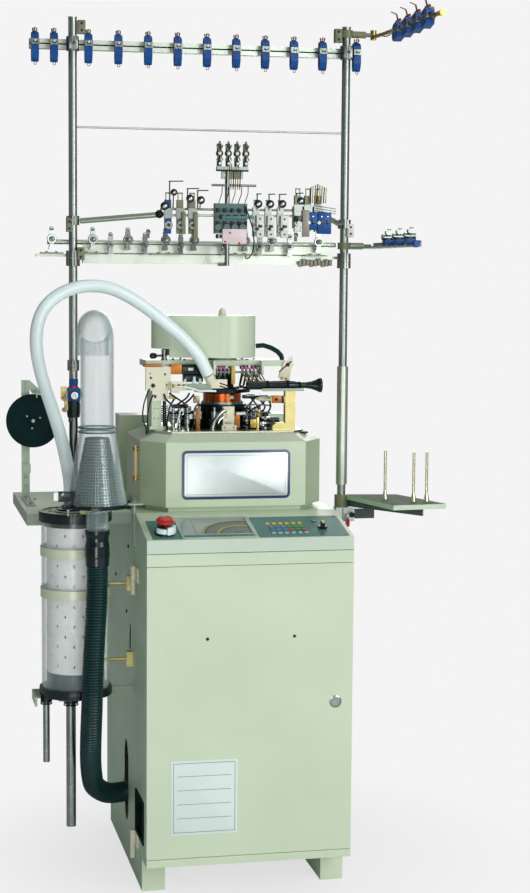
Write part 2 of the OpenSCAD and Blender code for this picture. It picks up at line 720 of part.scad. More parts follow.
// Drum cover over the dial's drive: two round ends of different size
drum_z = bridge_z + bridge_t + 8;
drum_wall = 3;
drum_small_r = 62;
drum_l = 142;
module drum_cover() placed() color(pale_green) {
    cover_knob();
    difference() {
        at_head(drum_z) rotate(180) linear_extrude(drum_h) belt2d(drum_r, drum_small_r, drum_l);
        at_head(drum_z - through) rotate(180) linear_extrude(drum_h - drum_wall + through)
            belt2d(drum_r - drum_wall, drum_small_r - drum_wall, drum_l);
        // The left end stops higher, clear of the lifting pin
        span([-drum_l - drum_small_r - through, head_y - drum_r, drum_z - through],
             [-drum_l - 20, head_y + drum_r, drum_z + 24]);
    }
    // Foot under the cover
    at_head(bridge_z + bridge_t + touch) ring(40, 30, 7);
    at_head(bridge_z + bridge_t + 7) ring(drum_r - drum_wall, 34, 2);
}

// Turned knob that holds the cover down
module cover_knob() at_head(drum_z + drum_h + touch) rotate_extrude()
    polygon([[0, 0], [13, 0], [13, 3], [9.5, 5], [10.5, 9], [9, 14], [5, 19], [2.5, 21], [0, 21]]);

// ---- Round the head: column, tower, feeders, actuators ----

column_x = [-215, -188];
column_y = [356, 446];
module side_column() placed() color(green) {
    span([column_x[0], column_y[0], head_z], [column_x[1], column_y[1], bridge_z]);
    span([column_x[0] - 6, column_y[0] - 4, head_z], [column_x[1] + 34, column_y[1] + 4, head_z + 8]);
    // Ribbed bellows beside the column, over its lifting rod
    translate([column_x[1] + 11, column_y[0] + 11, head_z + 8]) {
        cylinder(r = 5, h = 72);
        for (k = [0:7]) translate([0, 0, 12 + k * 6]) cylinder(r = 10, h = 3.5);
    }
}

// Cream side plates: one in front of the column, one at the bridge's right end
module hinge_plates() {
    x = column_x[0];
    difference() {
        union() {
            span([x - 18, column_y[0] - 12, bridge_z - 66], [x + 52, column_y[0] - touch, bridge_z - touch]);
            span([x, column_y[0] - 12, bridge_z - 95], [x + 44, column_y[0] - touch, bridge_z - 60]);
        }
        for (h = [[-6, -18, 2], [-4, -30, 3], [36, -20, 3], [2, -52, 5.5], [8, -82, 4], [40, -50, 2.5]])
            translate([x + h[0], column_y[0] + through, bridge_z + h[1]]) rotate([90, 0, 0])
                cylinder(r = h[2], h = 14);
    }
    y = head_y + bridge_y[0];
    difference() {
        on_front(0, y - touch, 0, 8) polygon([[190, bridge_z + 28], [166, bridge_z + 14], [150, bridge_z - 30],
            [158, bridge_z - 40], [182, bridge_z - 40], [186, bridge_z - 12], [192, bridge_z + 4]]);
        translate([176, y + through, bridge_z + 4]) rotate([90, 0, 0]) cylinder(r = 6, h = 12);
    }
}

// Stacked brass tower with the thread arm
tower_x = [153, 182];
tower_y = [288, 312];
horn_z = 1357;
module yarn_tower() placed() color(brass) {
    joints = [head_z, head_z + 22, head_z + 72, horn_z - 13];
    for (k = [0:2]) span([tower_x[0], tower_y[0], joints[k]],
                         [tower_x[1], tower_y[1], joints[k + 1] - (k < 2 ? 1 : 0)]);
    span([tower_x[0] + 3, tower_y[0] + 3, head_z], [tower_x[1] - 3, tower_y[1] - 3, horn_z - 14]);
    on_front(0, tower_y[1], 0, tower_y[1] - tower_y[0])
        polygon([[tower_x[0] - 36, head_z], [tower_x[0] + 1, head_z], [tower_x[0] + 1, head_z + 20],
                 [tower_x[0] - 26, head_z + 20], [tower_x[0] - 36, head_z + 12]]);
    // Arm towards the needle ring, with its clamp
    span([tower_x[0] - 40, tower_y[0] + 4, 1309], [tower_x[0] + 1, tower_y[1] - 4, 1327]);
    bar([tower_x[0] - 40, 300, 1319], [tower_x[0] - 78, 316, 1319], 4);
}

// Black horn: a tube with a flared mouth to the right
horn_x = [44, 258];
module trumpet_tube() placed() color(black) translate([horn_x[0], 300, horn_z]) rotate([0, 90, 0]) rotate_extrude()
    polygon([[0, 0], [11, 0], [12, 3], [12, 70], [13, 118], [12, 136], [8.5, 150], [8.5, 168], [11, 186],
             [16, 200], [20.5, 209], [20.5, 214], [17, 214], [11, 203], [6, 190], [6, 175], [0, 175]]);

// Feeder arm with its cream block and the hose's nozzle
nozzle_a = [-46, 338, 1362];
nozzle_b = [-59, 332, 1384];
module feeder_bracket() {
    span([column_x[0] + 52.3, 338, 1342], [-48, 352, 1360]);
    span([column_x[0] + 52.3, 334, 1334], [-140, 356, 1366]);
    difference() {
        span([-50, 336, 1347], [-4, 358, 1372]);
        for (z = [1352, 1360]) translate([-26, 335, z]) rotate([0, 18, 0]) cube([30, 24, 3.5]);
    }
    difference() {
        bar(nozzle_a, nozzle_b, white_r - 3);
        bar(nozzle_a + (nozzle_b - nozzle_a) * 0.4, nozzle_b + (nozzle_b - nozzle_a), white_r - 6);
    }
}

module feeder_plates() placed() color(cream) {
    hinge_plates();
    feeder_bracket();
}

// Yarn fingers on their shaft, hanging towards the needles
finger_left = 4;
finger_right = 5;
finger_pitch = 11;
module yarn_finger(x) {
    on_side(x - 2.5, finger_y, finger_z, 5)
        polygon([[-6, 7], [5, 6], [9, -6], [38, -37], [40, -42], [36, -41], [4, -14], [-5, -6]]);
    translate([x, finger_y - 3, finger_z]) cylinder(r = 2.5, h = 13);
}
module yarn_fingers() placed() color(steel) {
    translate([finger_shaft_x[0], finger_y, finger_z]) rotate([0, 90, 0])
        cylinder(r = finger_shaft_r, h = finger_shaft_x[1] - finger_shaft_x[0]);
    for (k = [0:finger_left - 1]) yarn_finger(-31 + k * finger_pitch);
    for (k = [0:finger_right - 1]) yarn_finger(42 + k * finger_pitch);
}

// Pneumatic actuators standing on the machine plate round the cam box
actuator_angles = [-158, -136, -112, -62, -40, -18, 30, 75, 105, 150];
module actuator() {
    translate([96, -13, 0]) cube([24, 26, 30]);
    translate([84, 0, 20]) rotate([0, 90, 0]) cylinder(r = 8, h = 13);
    translate([108, 0, 30]) cylinder(r = 9, h = 20);
    translate([108, 0, 50]) cylinder(r = 4, h = 12);
    for (y = [-8, 8]) translate([119, y, 12]) rotate([0, 90, 0]) cylinder(r = 3.5, h = 8);
}
module actuators() placed() {
    color(chrome) at_head(head_z) for (a = actuator_angles) rotate(a) actuator();
    color(cream) cam_slide();
}

// Cream cam slide at the front of the plate, with its lever
module cam_slide() at_head(head_z) {
    translate([-16, -104, 0]) cube([32, 22, 64]);
    translate([-21, -112, 0]) cube([42, 30, 12]);
    translate([-19, -106, 28]) cube([38, 4, 8]);
    wire([[-15, -98, 46], [-42, -112, 20], [-46, -112, 3]], 3);
}

// ---- Hoses and cables: their routes are chosen points ----

white_route = [[-59, 332, 1386], [-88, 326, 1438], [-133, 322, 1488], [-182, 318, 1530], [-230, 314, 1567],
    [-282, 308, 1600], [-336, 300, 1624], [-388, 292, 1631], [-438, 282, 1625], [-484, 272, 1605],
    [-519, 262, 1574], [-538, 254, 1535], [-545, 246, 1492], [-543, 240, 1448], [-535, 232, 1403],
    [-523, 224, 1358], [-509, 214, 1312], [-495, 204, 1266], [-481, 197, 1214], [-470, 190, 1160],
    [-463, 185, 1115], [-461.5, 183, 1080], [-461.5, 183, 1025.4]];
module white_hose() placed() color(white) hose(white_route, white_r, 12);

suction_route = [[-403.3, 60, 900], [-403.3, 60, 870], [-405, 58, 810], [-410, 55, 720], [-414, 55, 650],
    [-417, 56, 580], [-418, 57, 525], [-419, 66, 470], [-418, 88, 415], [-414, 124, 360], [-406, 170, 308],
    [-394, 222, 264], [-372, 278, 232], [-346, 326, 208], [-318, 364, 195], [-288, 390, 190], [-256, 403, 190]];
module suction_hose() placed() color(black) hose(suction_route, suction_r, 12);

bypass_route = [[97, 430, 1462], [118, 424, 1464], [139, 414, 1457], [155, 404, 1447], [164, 398, 1436],
    [166, 396, 1429], [166, 396, 1424.1]];
cable_a = [[-222, 341.8, 1346], [-230, 341.8, 1332], [-238, 341.8, 1308], [-242, 343, 1282], [-240, 350, 1256],
    [-230, 356, 1236], [-230, 356, 1217.9]];
cable_b = [[-212, 341.8, 1330], [-219, 341.8, 1316], [-225, 341.8, 1296], [-228, 344, 1272], [-227, 350, 1248],
    [-225, 354, 1234], [-225, 354, 1220]];
sensor_cable = [[74, 489.8, 1862], [84, 484, 1836], [96, 484, 1800], [102, 488, 1760], [102, 506, 1730],
    [100, 548, 1714], [98, 584, 1712], [98, 592, 1716], [98, 592, 1721]];
module head_hoses() placed() color(black) {
    hose(bypass_route, 7, 8);
    for (route = [cable_a, cable_b, sensor_cable]) hose(route, 2, 8);
}

// ---- Lint filter ----

filter_at = [-447.5, 182];
filter_top_z = filter_z + 23 + filter_h;
cap_r = 97;
cap_rim_h = 23;
cap_top_h = 27;
plinth_r = filter_r - clear_wall - gap;
plinth_h = 42;
screen_r = 77;
drain_at = [[-528, 175, 9, 347], [-464, 150, 13, 173]];

module at_filter(z) translate([filter_at.x, filter_at.y, z]) children();

module filter_tube() placed() color(clear) at_filter(filter_z + cap_rim_h) ring(filter_r, filter_r - clear_wall, filter_h);

// Perforated inner tube: rows of holes, each half a pitch round from the last
screen_rows = 14;
screen_cols = 5;
module filter_screen() placed() color(white) at_filter(filter_z + cap_rim_h + plinth_h + touch) difference() {
    h = filter_h - plinth_h - 12 - seat;
    ring(screen_r, screen_r - 2, h);
    for (r = [0:screen_rows - 1], c = [0:screen_cols - 1])
        translate([0, 0, (r + 0.8) * h / (screen_rows + 0.6)]) rotate(36 * c + 18 * (r % 2) + 9)
            cube([2 * screen_r + 10, 4, 7], center = true);
}

module filter_caps() placed() color(black) {
    at_filter(filter_z) difference() {
        union() {
            cylinder(r = cap_r, h = cap_rim_h);
            translate([0, 0, cap_rim_h - touch]) cylinder(r = screen_r + 1, h = plinth_h);
            for (d = drain_at) translate([d[0] - filter_at.x, d[1] - filter_at.y, -16]) cylinder(r = d[2] + 6, h = 17);
        }
        for (d = drain_at) translate([d[0] - filter_at.x, d[1] - filter_at.y, -16 - through])
            cylinder(r = d[2], h = 17 + 6);
    }
    at_filter(filter_top_z + touch) difference() {
        union() {
            cylinder(r = cap_r, h = cap_top_h);
            translate([0, 0, -12]) cylinder(r = plinth_r, h = 13);
            translate([-14, 1, 0]) cylinder(r = 34, h = cap_top_h + 5);
            translate([-14, 1, 0]) cylinder(r = white_r + 5, h = cap_top_h + 16);
        }
        translate([-14, 1, cap_top_h - 6]) cylinder(r = white_r + touch, h = 30);
        translate([0, 0, cap_top_h - 3]) ring(cap_r - 8, 58, 4);
    }
}

// Clamp rings round the tube
strap_zs = [800, 911];
strap_h = 25;
module filter_straps() for (z = strap_zs) at_filter(z) {
    ring(filter_r + gap + 2.5, filter_r + gap, strap_h);
    rotate(65) for (y = [-12, 3]) translate([filter_r + gap + 1, y, 2]) cube([14, 9, strap_h - 4]);
}

// Brass rods from the cabinet's side to the blocks behind the filter
rod_zs = [812, 600];
rod_y = 278;
module filter_clamps() placed() {
    color(cream) filter_straps();
    color(brass) filter_arms();
}
module filter_arms() {
    for (z = rod_zs) {
        difference() {
            span([-432, rod_y - 18, z - 20], [-404, rod_y + 8, z + 20]);
            at_filter(z - 30) cylinder(r = filter_r + 3 + 2 * gap, h = 60);
        }
        bar([-405, rod_y, z], [-half_w - 4, rod_y, z], 5);
        span([-half_w - 16, rod_y - 10, z - 20], [-half_w, rod_y + 14, z + 20]);
    }
}
module filter_shelf() {
    shelf_t = 5;
    span([-560, 246, filter_z - 26], [-half_w - touch, 252, filter_z - touch]);
    difference() {
        span([-500, 110, filter_z - shelf_t], [-402, 246 + through, filter_z - touch]);
        for (d = drain_at) translate([d[0], d[1], filter_z - 10]) cylinder(r = d[2] + 6 + gap, h = 20);
    }
    span([-560, 150, filter_z - 26], [-554, 252, filter_z - touch]);
}
module drain_tubes() placed() color(chrome) for (d = drain_at)
    translate([d[0], d[1], d[3]]) ring(d[2], d[2] - 2, filter_z - d[3] + 4);

// ---- Sock funnel, swan neck and suction hose fittings ----

funnel_at = [-403.3, 60];
funnel_ring_h = 10;
funnel_base = funnel_z + funnel_ring_h;
outlet_r = 29;
cuff_r = 33;
neck_r = funnel_top_r;
neck_bend = 48;
neck_top = 1478;
module at_funnel(z) translate([funnel_at.x, funnel_at.y, z]) children();

module funnel_shell() placed() color(clear) at_funnel(funnel_base + touch) rotate_extrude()
    polygon([[funnel_r - clear_wall, 0], [funnel_r, 0], [funnel_top_r + 4, funnel_h], [funnel_top_r + 4, funnel_h + 12],
             [funnel_top_r + seat, funnel_h + 12], [funnel_top_r + seat, funnel_h]]);

// Inner mesh cone with its ribs
module funnel_screen() placed() color(black) at_funnel(funnel_base + touch) {
    in = 12;
    h = funnel_h - 16;
    rotate_extrude() polygon([[funnel_r - in - 2, 0], [funnel_r - in, 0], [funnel_top_r - in, h], [funnel_top_r - in - 2, h]]);
    for (k = [0:6]) translate([0, 0, k * h / 7 + 3])
        ring(funnel_r - in + 1.5 - k * (funnel_r - funnel_top_r) / 7, funnel_r - in - 1.8 - k * (funnel_r - funnel_top_r) / 7, 1.5);
}

// Base ring with its lugs
module funnel_ring() {
    difference() {
        union() {
            at_funnel(funnel_z) cylinder(r = funnel_r + 4, h = funnel_ring_h);
            for (a = [140, 200, 260, 330]) at_funnel(funnel_z) rotate(a)
                translate([funnel_r - 2, -9, 0]) cube([22, 18, funnel_ring_h - 2]);
            at_funnel(funnel_z) rotate(40) translate([funnel_r - 2, -12, 0]) cube([40, 24, funnel_ring_h - 2]);
        }
        at_funnel(funnel_z - through) cylinder(r = outlet_r + touch, h = funnel_ring_h + 2 * through);
        at_funnel(funnel_z + 4) cylinder(r = funnel_r - 20, h = funnel_ring_h);
    }
}
module funnel_bracket() {
    x = funnel_at.x + (funnel_r + 26) * cos(40);
    y = funnel_at.y + (funnel_r + 26) * sin(40);
    span([-half_w - 4, y - 14, funnel_z - 4 - touch], [x + 50, y + 14, funnel_z - touch]);
    span([x - 16, y - 12, funnel_z - 4 - touch], [-half_w - touch, y + 14, funnel_z - touch]);
    span([-half_w - 4, main_y + 4, deck_z - 90], [-half_w - touch, main_y + 34, funnel_z - touch]);
    span([-half_w - 4, y - 12, funnel_z - 4 - touch], [-half_w - touch, main_y + 34, funnel_z - touch]);
}

module side_brackets() placed() color(green) {
    filter_shelf();
    funnel_bracket();
}

// Clear outlet under the funnel and the clear swan neck over it
module clear_pipes() placed() color(clear) {
    at_funnel(930) ring(outlet_r, outlet_r - clear_wall, funnel_z + 4 - 930);
    base = funnel_base + funnel_h + 2;
    at_funnel(base) ring(neck_r, neck_r - clear_wall, neck_top - base);
    translate([funnel_at.x, funnel_at.y + neck_bend, neck_top]) rotate([0, -90, 0]) rotate([0, 0, -90])
        rotate_extrude(angle = 180) translate([neck_bend, 0]) difference() {
            circle(r = neck_r);
            circle(r = neck_r - clear_wall);
        }
    translate([funnel_at.x, funnel_at.y + 2 * neck_bend, neck_top - 30]) ring(neck_r, neck_r - clear_wall, 30);
}

module hose_cuff() at_funnel(900) difference() {
    rotate_extrude() polygon([[0, 0], [31, 0], [32, 20], [cuff_r, 24], [cuff_r, 52], [30.5, 64], [30.5, 74], [cuff_r, 84],
                              [cuff_r, 93], [0, 93]]);
    translate([0, 0, 30]) cylinder(r = outlet_r + touch, h = 80);
    translate([0, 0, 4]) cylinder(r = outlet_r - clear_wall, h = 80);
}
module suction_couplings() placed() color(black) {
    funnel_ring();
    hose_cuff();
}

// ---- Left table, yarn reel and air unit ----

left_table_y = 280;
table_sheet = 2;
reel_t = 3;
reel_pin_r = 5;
strip = [-554.5, 640, 23.5, 5];  // left edge, front face, width and thickness

module left_table() placed() color(green) difference() {
    span([side_x_min, left_table_y, table_z - table_edge],
         [-half_w - seat, left_table_y + left_table_d, table_z]);
    span([side_x_min + table_sheet, left_table_y + table_sheet, table_z - table_edge - through],
         [-half_w - seat - table_sheet, left_table_y + left_table_d - table_sheet, table_z - table_sheet]);
}

// Upright strip with its foot, sloping top and hook, and the pin that the reel turns on
module reel_bracket() placed() color(green) {
    x = strip[0];
    y = strip[1];
    foot_z = table_z + touch;
    span([x, y, foot_z], [x + strip[2], y + strip[3], foot_z + 345]);
    on_front(0, y + strip[3], foot_z, strip[3]) polygon([[x, 320], [x, 345], [x + 23.5, 345],
        [x + 53.5, 317], [x + 57.5, 303], [x + 31, 306], [x + 22.5, 320]]);
    span([x, y - 210, foot_z], [x + strip[2], y + strip[3], foot_z + 3]);
    for (d = [36, 182]) translate([x + strip[2] / 2, y - d, foot_z]) cylinder(r = 5.5, h = 6);
    span([x + 1, y - 8, foot_z + 74], [x + strip[2] + 2, y + through, foot_z + 100]);
    span([x + strip[2] - through, y, reel_at.z - 16], [reel_at.x + 14, y + strip[3], reel_at.z + 16]);
    translate([reel_at.x, y + through, reel_at.z]) rotate([90, 0, 0]) cylinder(r = reel_pin_r, h = y - reel_at.y + 9);
    wire([[x + 48, y + 2, foot_z + 310], [x + 43, y - 14, foot_z + 318], [x + 43, y - 35, foot_z + 316],
        [x + 41, y - 37, foot_z + 296]], 2);
}

module reel_disc() placed() color(black) translate(reel_at) rotate([90, 0, 0]) difference() {
    union() {
        cylinder(r = reel_r, h = reel_t);
        translate([0, 0, -10]) cylinder(r = 14, h = 14);
        translate([0, 0, -2]) ring(reel_r, reel_r - 4, reel_t + 3);
    }
    translate([0, 0, -10 - through]) cylinder(r = reel_pin_r + running, h = 20);
}

// Regulator with its bowl and fittings on the left post
air_at = [-411, 562];
air_z = 1300;
air_h = 44;
module at_air(z) translate([air_at.x, air_at.y, z]) children();
module air_unit() placed() color(black) difference() {
    union() {
        at_air(air_z) translate([-18, -18, 0]) cube([36, 36, air_h - 8]);
        at_air(air_z + 30) cylinder(r = 11, h = 14);
        at_air(air_z - 48) cylinder(r = 18, h = 49);
        at_air(air_z - 62) translate([-12, 0, 0]) cylinder(r = 3, h = 15);
        at_air(air_z + 16) rotate([0, 90, 0]) cylinder(r = 8, h = 27);
        at_air(air_z + 16) rotate([90, 0, 0]) cylinder(r = 11, h = 24);
        // Two brass valves on the left
        at_air(air_z + 20) rotate([0, -90, 0]) cylinder(r = 9, h = 34);
        at_air(air_z + 4) translate([-36, -8, 0]) cube([16, 16, 36]);
        at_air(air_z - 28) translate([-26, -7, 0]) cube([14, 14, 40]);
        at_air(air_z + 6) translate([-20, 0, 0]) cube([42, 44, 26]);
    }
    translate([-post_left, post_y, air_z - 10]) cylinder(r = post_r + touch, h = 80);
    at_air(air_z + 26) cylinder(r = 4 + running, h = 30);
}
module air_knob() placed() color(blue) at_air(air_z + air_h + seat) {
    translate([0, 0, -16]) cylinder(r = 4, h = 17);
    difference() {
        cylinder(r = 13, h = 18);
        for (k = [0:11]) rotate(30 * k) translate([14, 0, -through]) cylinder(r = 2, h = 20);
    }
}

// ---- Creel posts, rails and arms ----

post_wall = 2;
left_post_z = table_z + touch;
right_post_z = 931;
foot_h = 24;

module creel_posts() placed() color(chrome) {
    translate([-post_left, post_y, left_post_z]) ring(post_r, post_r - post_wall, post_top - left_post_z);
    translate([post_right, post_y, right_post_z]) ring(post_r, post_r - post_wall, post_top - right_post_z);
}

// A split clamp round a post, with its screw, cut flat where a rail passes behind
module post_clamp(x, z, h, out, back = 40) translate([x, post_y, z]) {
    difference() {
        union() {
            cylinder(r = post_r + out, h = h);
            translate([-6, -post_r - out - 10, 0]) cube([12, out + 14, h]);
        }
        translate([0, 0, -through]) cylinder(r = post_r + touch, h = h + 2 * through);
        translate([-1, -post_r - out - 11, -through]) cube([2, out + 14, h + 2 * through]);
        translate([-40, back - touch, -through]) cube([80, 40, h + 2 * through]);
    }
    translate([-9, -post_r - out - 4, h / 2]) rotate([0, 90, 0]) cylinder(r = 3, h = 18);
}

// Clamps and sleeves on the posts, and the bracket that holds the right post
sleeve_z = [1040, 1395];
bar_z = 933;  // square bar under the right table
bar_end = 505;
right_eye_z = 972;  // underside of the right table's eye
module post_clamps() placed() color(chrome) {
    post_clamp(-post_left, left_post_z, foot_h, 9);
    post_clamp(-post_left, 1385, 30, 5);
    for (x = [-post_left, post_right]) {
        post_clamp(x, thick_rail_z - 22, 44, 8, rail_behind + 4);
        post_clamp(x, 1803, 26, 7);
        post_clamp(x, top_rail_z - 20, 40, 6, rail_behind);
    }
    // Grey sleeve over the lower part of the right post
    translate([post_right, post_y, sleeve_z[0]]) ring(post_r + 4, post_r + touch, sleeve_z[1] - sleeve_z[0]);
    // Square bar out of the cabinet's side, with the block that grips the right post
    span([half_w + touch, post_y + 14, bar_z], [bar_end, post_y + 44, bar_z + 30]);
    span([half_w + touch, post_y - 10, bar_z - 10], [half_w + 8, post_y + 60, bar_z + 40]);
    difference() {
        span([post_right - 20, post_y - 22, bar_z - 3], [post_right + 36, post_y + 14 + through, right_eye_z - touch]);
        translate([post_right, post_y, right_post_z - 5]) cylinder(r = post_r + touch, h = 100);
        span([post_right - 1.5, post_y - 30, bar_z - 9], [post_right + 1.5, post_y, right_eye_z]);
    }
    translate([post_right - 26, post_y - 18, bar_z + 15]) rotate([0, 90, 0]) cylinder(r = 3, h = 48);
    translate([post_right + 26, post_y - 22 + through, bar_z + 18]) rotate([90, 0, 0]) cylinder(r = 8, h = 15);
}

// A unit's thread eye: a ring of wire that faces the front
module eye_wire(r, w) rotate([90, 0, 0]) rotate_extrude($fn = 24) translate([r, 0]) circle(r = w, $fn = 16);

rail_x = [-529, 441];
rail_behind = post_r + 1.5;
module top_rail() placed() color(steel) {
    y = post_y + rail_behind;
    difference() {
        span([rail_x[0], y, top_rail_z - 14], [rail_x[1], y + 26, top_rail_z + 14]);
        span([rail_x[0] + 4, y + 3, top_rail_z - 11], [rail_x[1] - 4, y + 23, top_rail_z + 11]);
        span([rail_x[0] - through, y - through, top_rail_z - 2], [rail_x[1] + through, y + 2, top_rail_z + 2]);
    }
    // Caps on the posts and the thin cross rod under the rail
    for (x = [-post_left, post_right]) translate([x, post_y, post_top + touch]) cylinder(r = post_r + 1, h = 3);
    bar([-post_left + post_r + touch, post_y, 2082], [post_right - post_r - touch, post_y, 2082], 3);
}

// Thread detectors: a housing on the top rail, with a wire eye above and below
detector_w = 21;
detector_h = 82;
detector_start = -363;
extra_detectors = [-515, -461, 428];
function detector_xs() = concat(extra_detectors, [for (k = [0:detector_count - 2]) detector_start + k * detector_pitch]);

module detector() {
    difference() {
        on_side(-detector_w / 2, 0, 0, detector_w)
            polygon([[0, -53], [8, -53], [15, -40], [15, 18], [11, 29], [0, 29], [-11, 20], [-13, -30], [-6, -46]]);
        translate([-detector_w / 2 - through, 4, -6]) cube([detector_w + 2 * through, 12, 5]);
    }
    translate([-detector_w / 2 - 1, -15, -6]) cube([detector_w + 2, 12, 16]);
    translate([0, -8, 36]) eye_wire(5, 1);
    translate([0, -8, 12]) cylinder(r = 1.2, h = 19);
    translate([0, -5, -58]) eye_wire(4, 1);
    translate([0, -5, -54]) cylinder(r = 1.2, h = 14);
}
module thread_detectors() placed() color(blue) for (x = detector_xs())
    translate([x, post_y + rail_behind - 15 - touch, top_rail_z]) detector();

// Middle creel: thick and thin rails, plates between them, two slanting arms
rail_depth = [post_y + rail_behind, post_y + rail_behind + 26];
module sensor_rod(r) bar([-190, 508, 1832], [318, 508, 1836], r);
module middle_rails() placed() color(steel) {
    difference() {
        span([-378, rail_depth[0], thick_rail_z - 13], [358, rail_depth[1], thick_rail_z + 13]);
        span([-375, rail_depth[0] + 3, thick_rail_z - 10], [355, rail_depth[1] - 3, thick_rail_z + 10]);
    }
    for (x = [[-513, -378 + through], [358 - through, 418]])
        span([x[0], rail_depth[0] + 4, thick_rail_z + 5], [x[1], rail_depth[1] - 4, thick_rail_z + 13]);
    bar([-480, rail_depth[0] + 8, thin_rail_z], [376, rail_depth[0] + 8, thin_rail_z], 7);
    // Web between the two rails
    span([-378, rail_depth[0] + 5, thick_rail_z + 12], [358, rail_depth[0] + 9, thin_rail_z]);
    for (x = [[-500, -436], [-378, -326], [-180, -103], [55, 118], [278, 342]])
        span([x[0], rail_depth[0] - 22, thick_rail_z + 13 + touch], [x[1], rail_depth[1], thick_rail_z + 17]);
    // Slanting arms with the rod between them
    difference() {
        union() {
            bar([-post_left + 20, post_y - 8, 1815], [-168, 502, 1834], 8);
            bar([post_right - 20, post_y - 8, 1817], [318, 508, 1836], 8);
        }
        for (x = [-post_left, post_right]) translate([x, post_y, 1780]) cylinder(r = post_r + 7 + touch, h = 80);
    }
    sensor_rod(3.5);
    translate([-172, 500, 1835]) sphere(r = 12);
}

// Yarn tensioners along the thin rail: bracket, round knob in front, eye above
tensioner_xs = [-470, -352, -250, -140, -56, 96, 176, 317];
small_tensioner_xs = [-300, -200, -95, 35, 140, 230];
module tensioner(r) {
    translate([-8, -18, -26]) cube([16, 26.9, 4]);
    translate([-6, -18, -26]) cube([12, 5, 40]);
    translate([0, -17, 2]) rotate([90, 0, 0]) cylinder(r = r, h = 9);
    translate([0, -25, 2]) rotate([90, 0, 0]) cylinder(r = r * 0.55, h = 10);
    translate([-7, -18, 14]) cube([14, 9, 12]);
    translate([0, -14, 31]) eye_wire(5.5, 1.2);
}
module tensioners() placed() color(chrome) {
    y = rail_depth[0] + 8;
    for (x = tensioner_xs) translate([x, y - 12, thin_rail_z + 6]) tensioner(13);
    for (x = small_tensioner_xs) translate([x, y - 12, thin_rail_z - 8]) tensioner(8);
    for (x = concat(tensioner_xs, small_tensioner_xs)) span([x - 6, y - 20, thin_rail_z - 22], [x + 6, y - 3.1, thin_rail_z - 7.5]);
}

// Mast with its yarn combs, and the sensor units on the slanting arms' rod
mast_x = 26;
mast_y = 506;
comb_pitch = 25.5;
module yarn_comb() {
    for (k = [-1.5:1.5]) translate([k * comb_pitch, 0, 0]) {
        translate([-6, -6, 0]) cube([12, 12, 18]);
        translate([0, -6 + through, 9]) rotate([90, 0, 0]) cylinder(r = 6, h = 8);
        translate([-3, -4, 12]) rotate([-6, 0, 4]) cube([7, 7, 34]);
        translate([0, -2 + through, 38]) rotate([90, 0, 0]) cylinder(r = 10, h = 9);
        translate([-5, -8, 44]) rotate([-4, 0, 8]) cube([11, 11, 22]);
    }
    translate([-46, -8, -12]) cube([92, 16, 13]);
}
module sensor_unit(h, blue_part) {
    translate([-9, -8, 0]) cube([18, 16, h]);
    translate([-12, -12, h * 0.45]) cube([24, 10, h * 0.3]);
    translate([0, -8 + through, h * 0.25]) rotate([90, 0, 0]) cylinder(r = 11, h = 9);
    translate([0, -16 + through, h * 0.25]) rotate([90, 0, 0]) cylinder(r = 5, h = 9);
    for (x = [-6, 6]) translate([x, -4, h - through]) cylinder(r = 1.5, h = 20);
    translate([-8, -6, h + 17]) cube([16, 4, 4]);
    if (blue_part) translate([-11, 8 - through, h * 0.1]) cube([22, 12, h * 0.6]);
}
module yarn_sensors() placed() color(steel) difference() {
    union() {
        bar([mast_x, mast_y, 1690], [mast_x, mast_y, 1961], 7);
        translate([mast_x + 14, mast_y, 1972]) yarn_comb();
        bar([mast_x - 46, mast_y - 2, 1920], [mast_x + 84, mast_y - 2, 1920], 3.5);
        span([mast_x - 38, mast_y - 14, 1782], [mast_x + 56, mast_y + 12, 1868]);
        for (x = [-30, -6, 18, 42]) translate([mast_x + x, mast_y - 13, 1800]) rotate([90, 0, 0]) cylinder(r = 9, h = 10);
        for (x = [-147, -112, -77]) translate([x, mast_y, 1780]) sensor_unit(96, false);
        for (x = [110, 146, 182]) translate([x, mast_y, 1775]) sensor_unit(84, false);
        for (x = [232, 262, 292]) translate([x, mast_y - 4, 1790]) sensor_unit(104, true);
        bar([-168, mast_y + 2, 1850], [310, mast_y + 2, 1852], 3.5);
        span([mast_x - 8, rail_depth[0] - 90, 1690], [mast_x + 8, rail_depth[0] - touch, 1700]);
    }
    sensor_rod(3.5 + touch);
}

// ---- Right table and side arms, which turn on the right post ----

right_table_z = 1010;
right_table_t = 14;
peg_h = 145;
peg_r = 4;
pegs = [[65, -150], [112, -235], [150, -245]];
module on_right_post() translate([post_right, post_y, 0]) rotate(right_table_angle) children();

// Folded tray, its outline moved inwards by i
module tray2d(i) polygon([[table_in + i, -table_in - i * 1.4], [table_in + right_table_w - 18 - i, -table_in - 60 - i],
    [table_in + right_table_w - i, -right_table_l - table_in - table_skew + i * 1.2],
    [table_in + i, -right_table_l - table_in + i]]);

module right_table() placed() on_right_post() {
    z = right_table_z - right_table_t;
    color(green) difference() {
        union() {
            translate([0, 0, z]) linear_extrude(right_table_t) tray2d(0);
            // Arm under the tray and its eye round the post
            translate([0, 0, z - 22]) linear_extrude(22 + through)
                polygon([[8, -2], [14, -14], [108, -296], [112, -294], [22, -2]]);
            translate([0, 0, right_eye_z + seat]) cylinder(r = post_r + 8, h = right_table_z - right_eye_z - seat);
        }
        translate([0, 0, z - through]) linear_extrude(right_table_t - table_sheet + through) difference() {
            tray2d(table_sheet);
            circle(r = post_r + 10);
            polygon([[8, -2], [14, -14], [108, -296], [112, -294], [22, -2]]);
        }
        translate([0, 0, z - 40]) cylinder(r = post_r + running, h = 80);
    }
    color(brass) for (p = pegs) translate([p[0], p[1], right_table_z - through / 2]) {
        cylinder(r = peg_r, h = peg_h);
        cylinder(r1 = 9, r2 = peg_r, h = 26);
    }
}

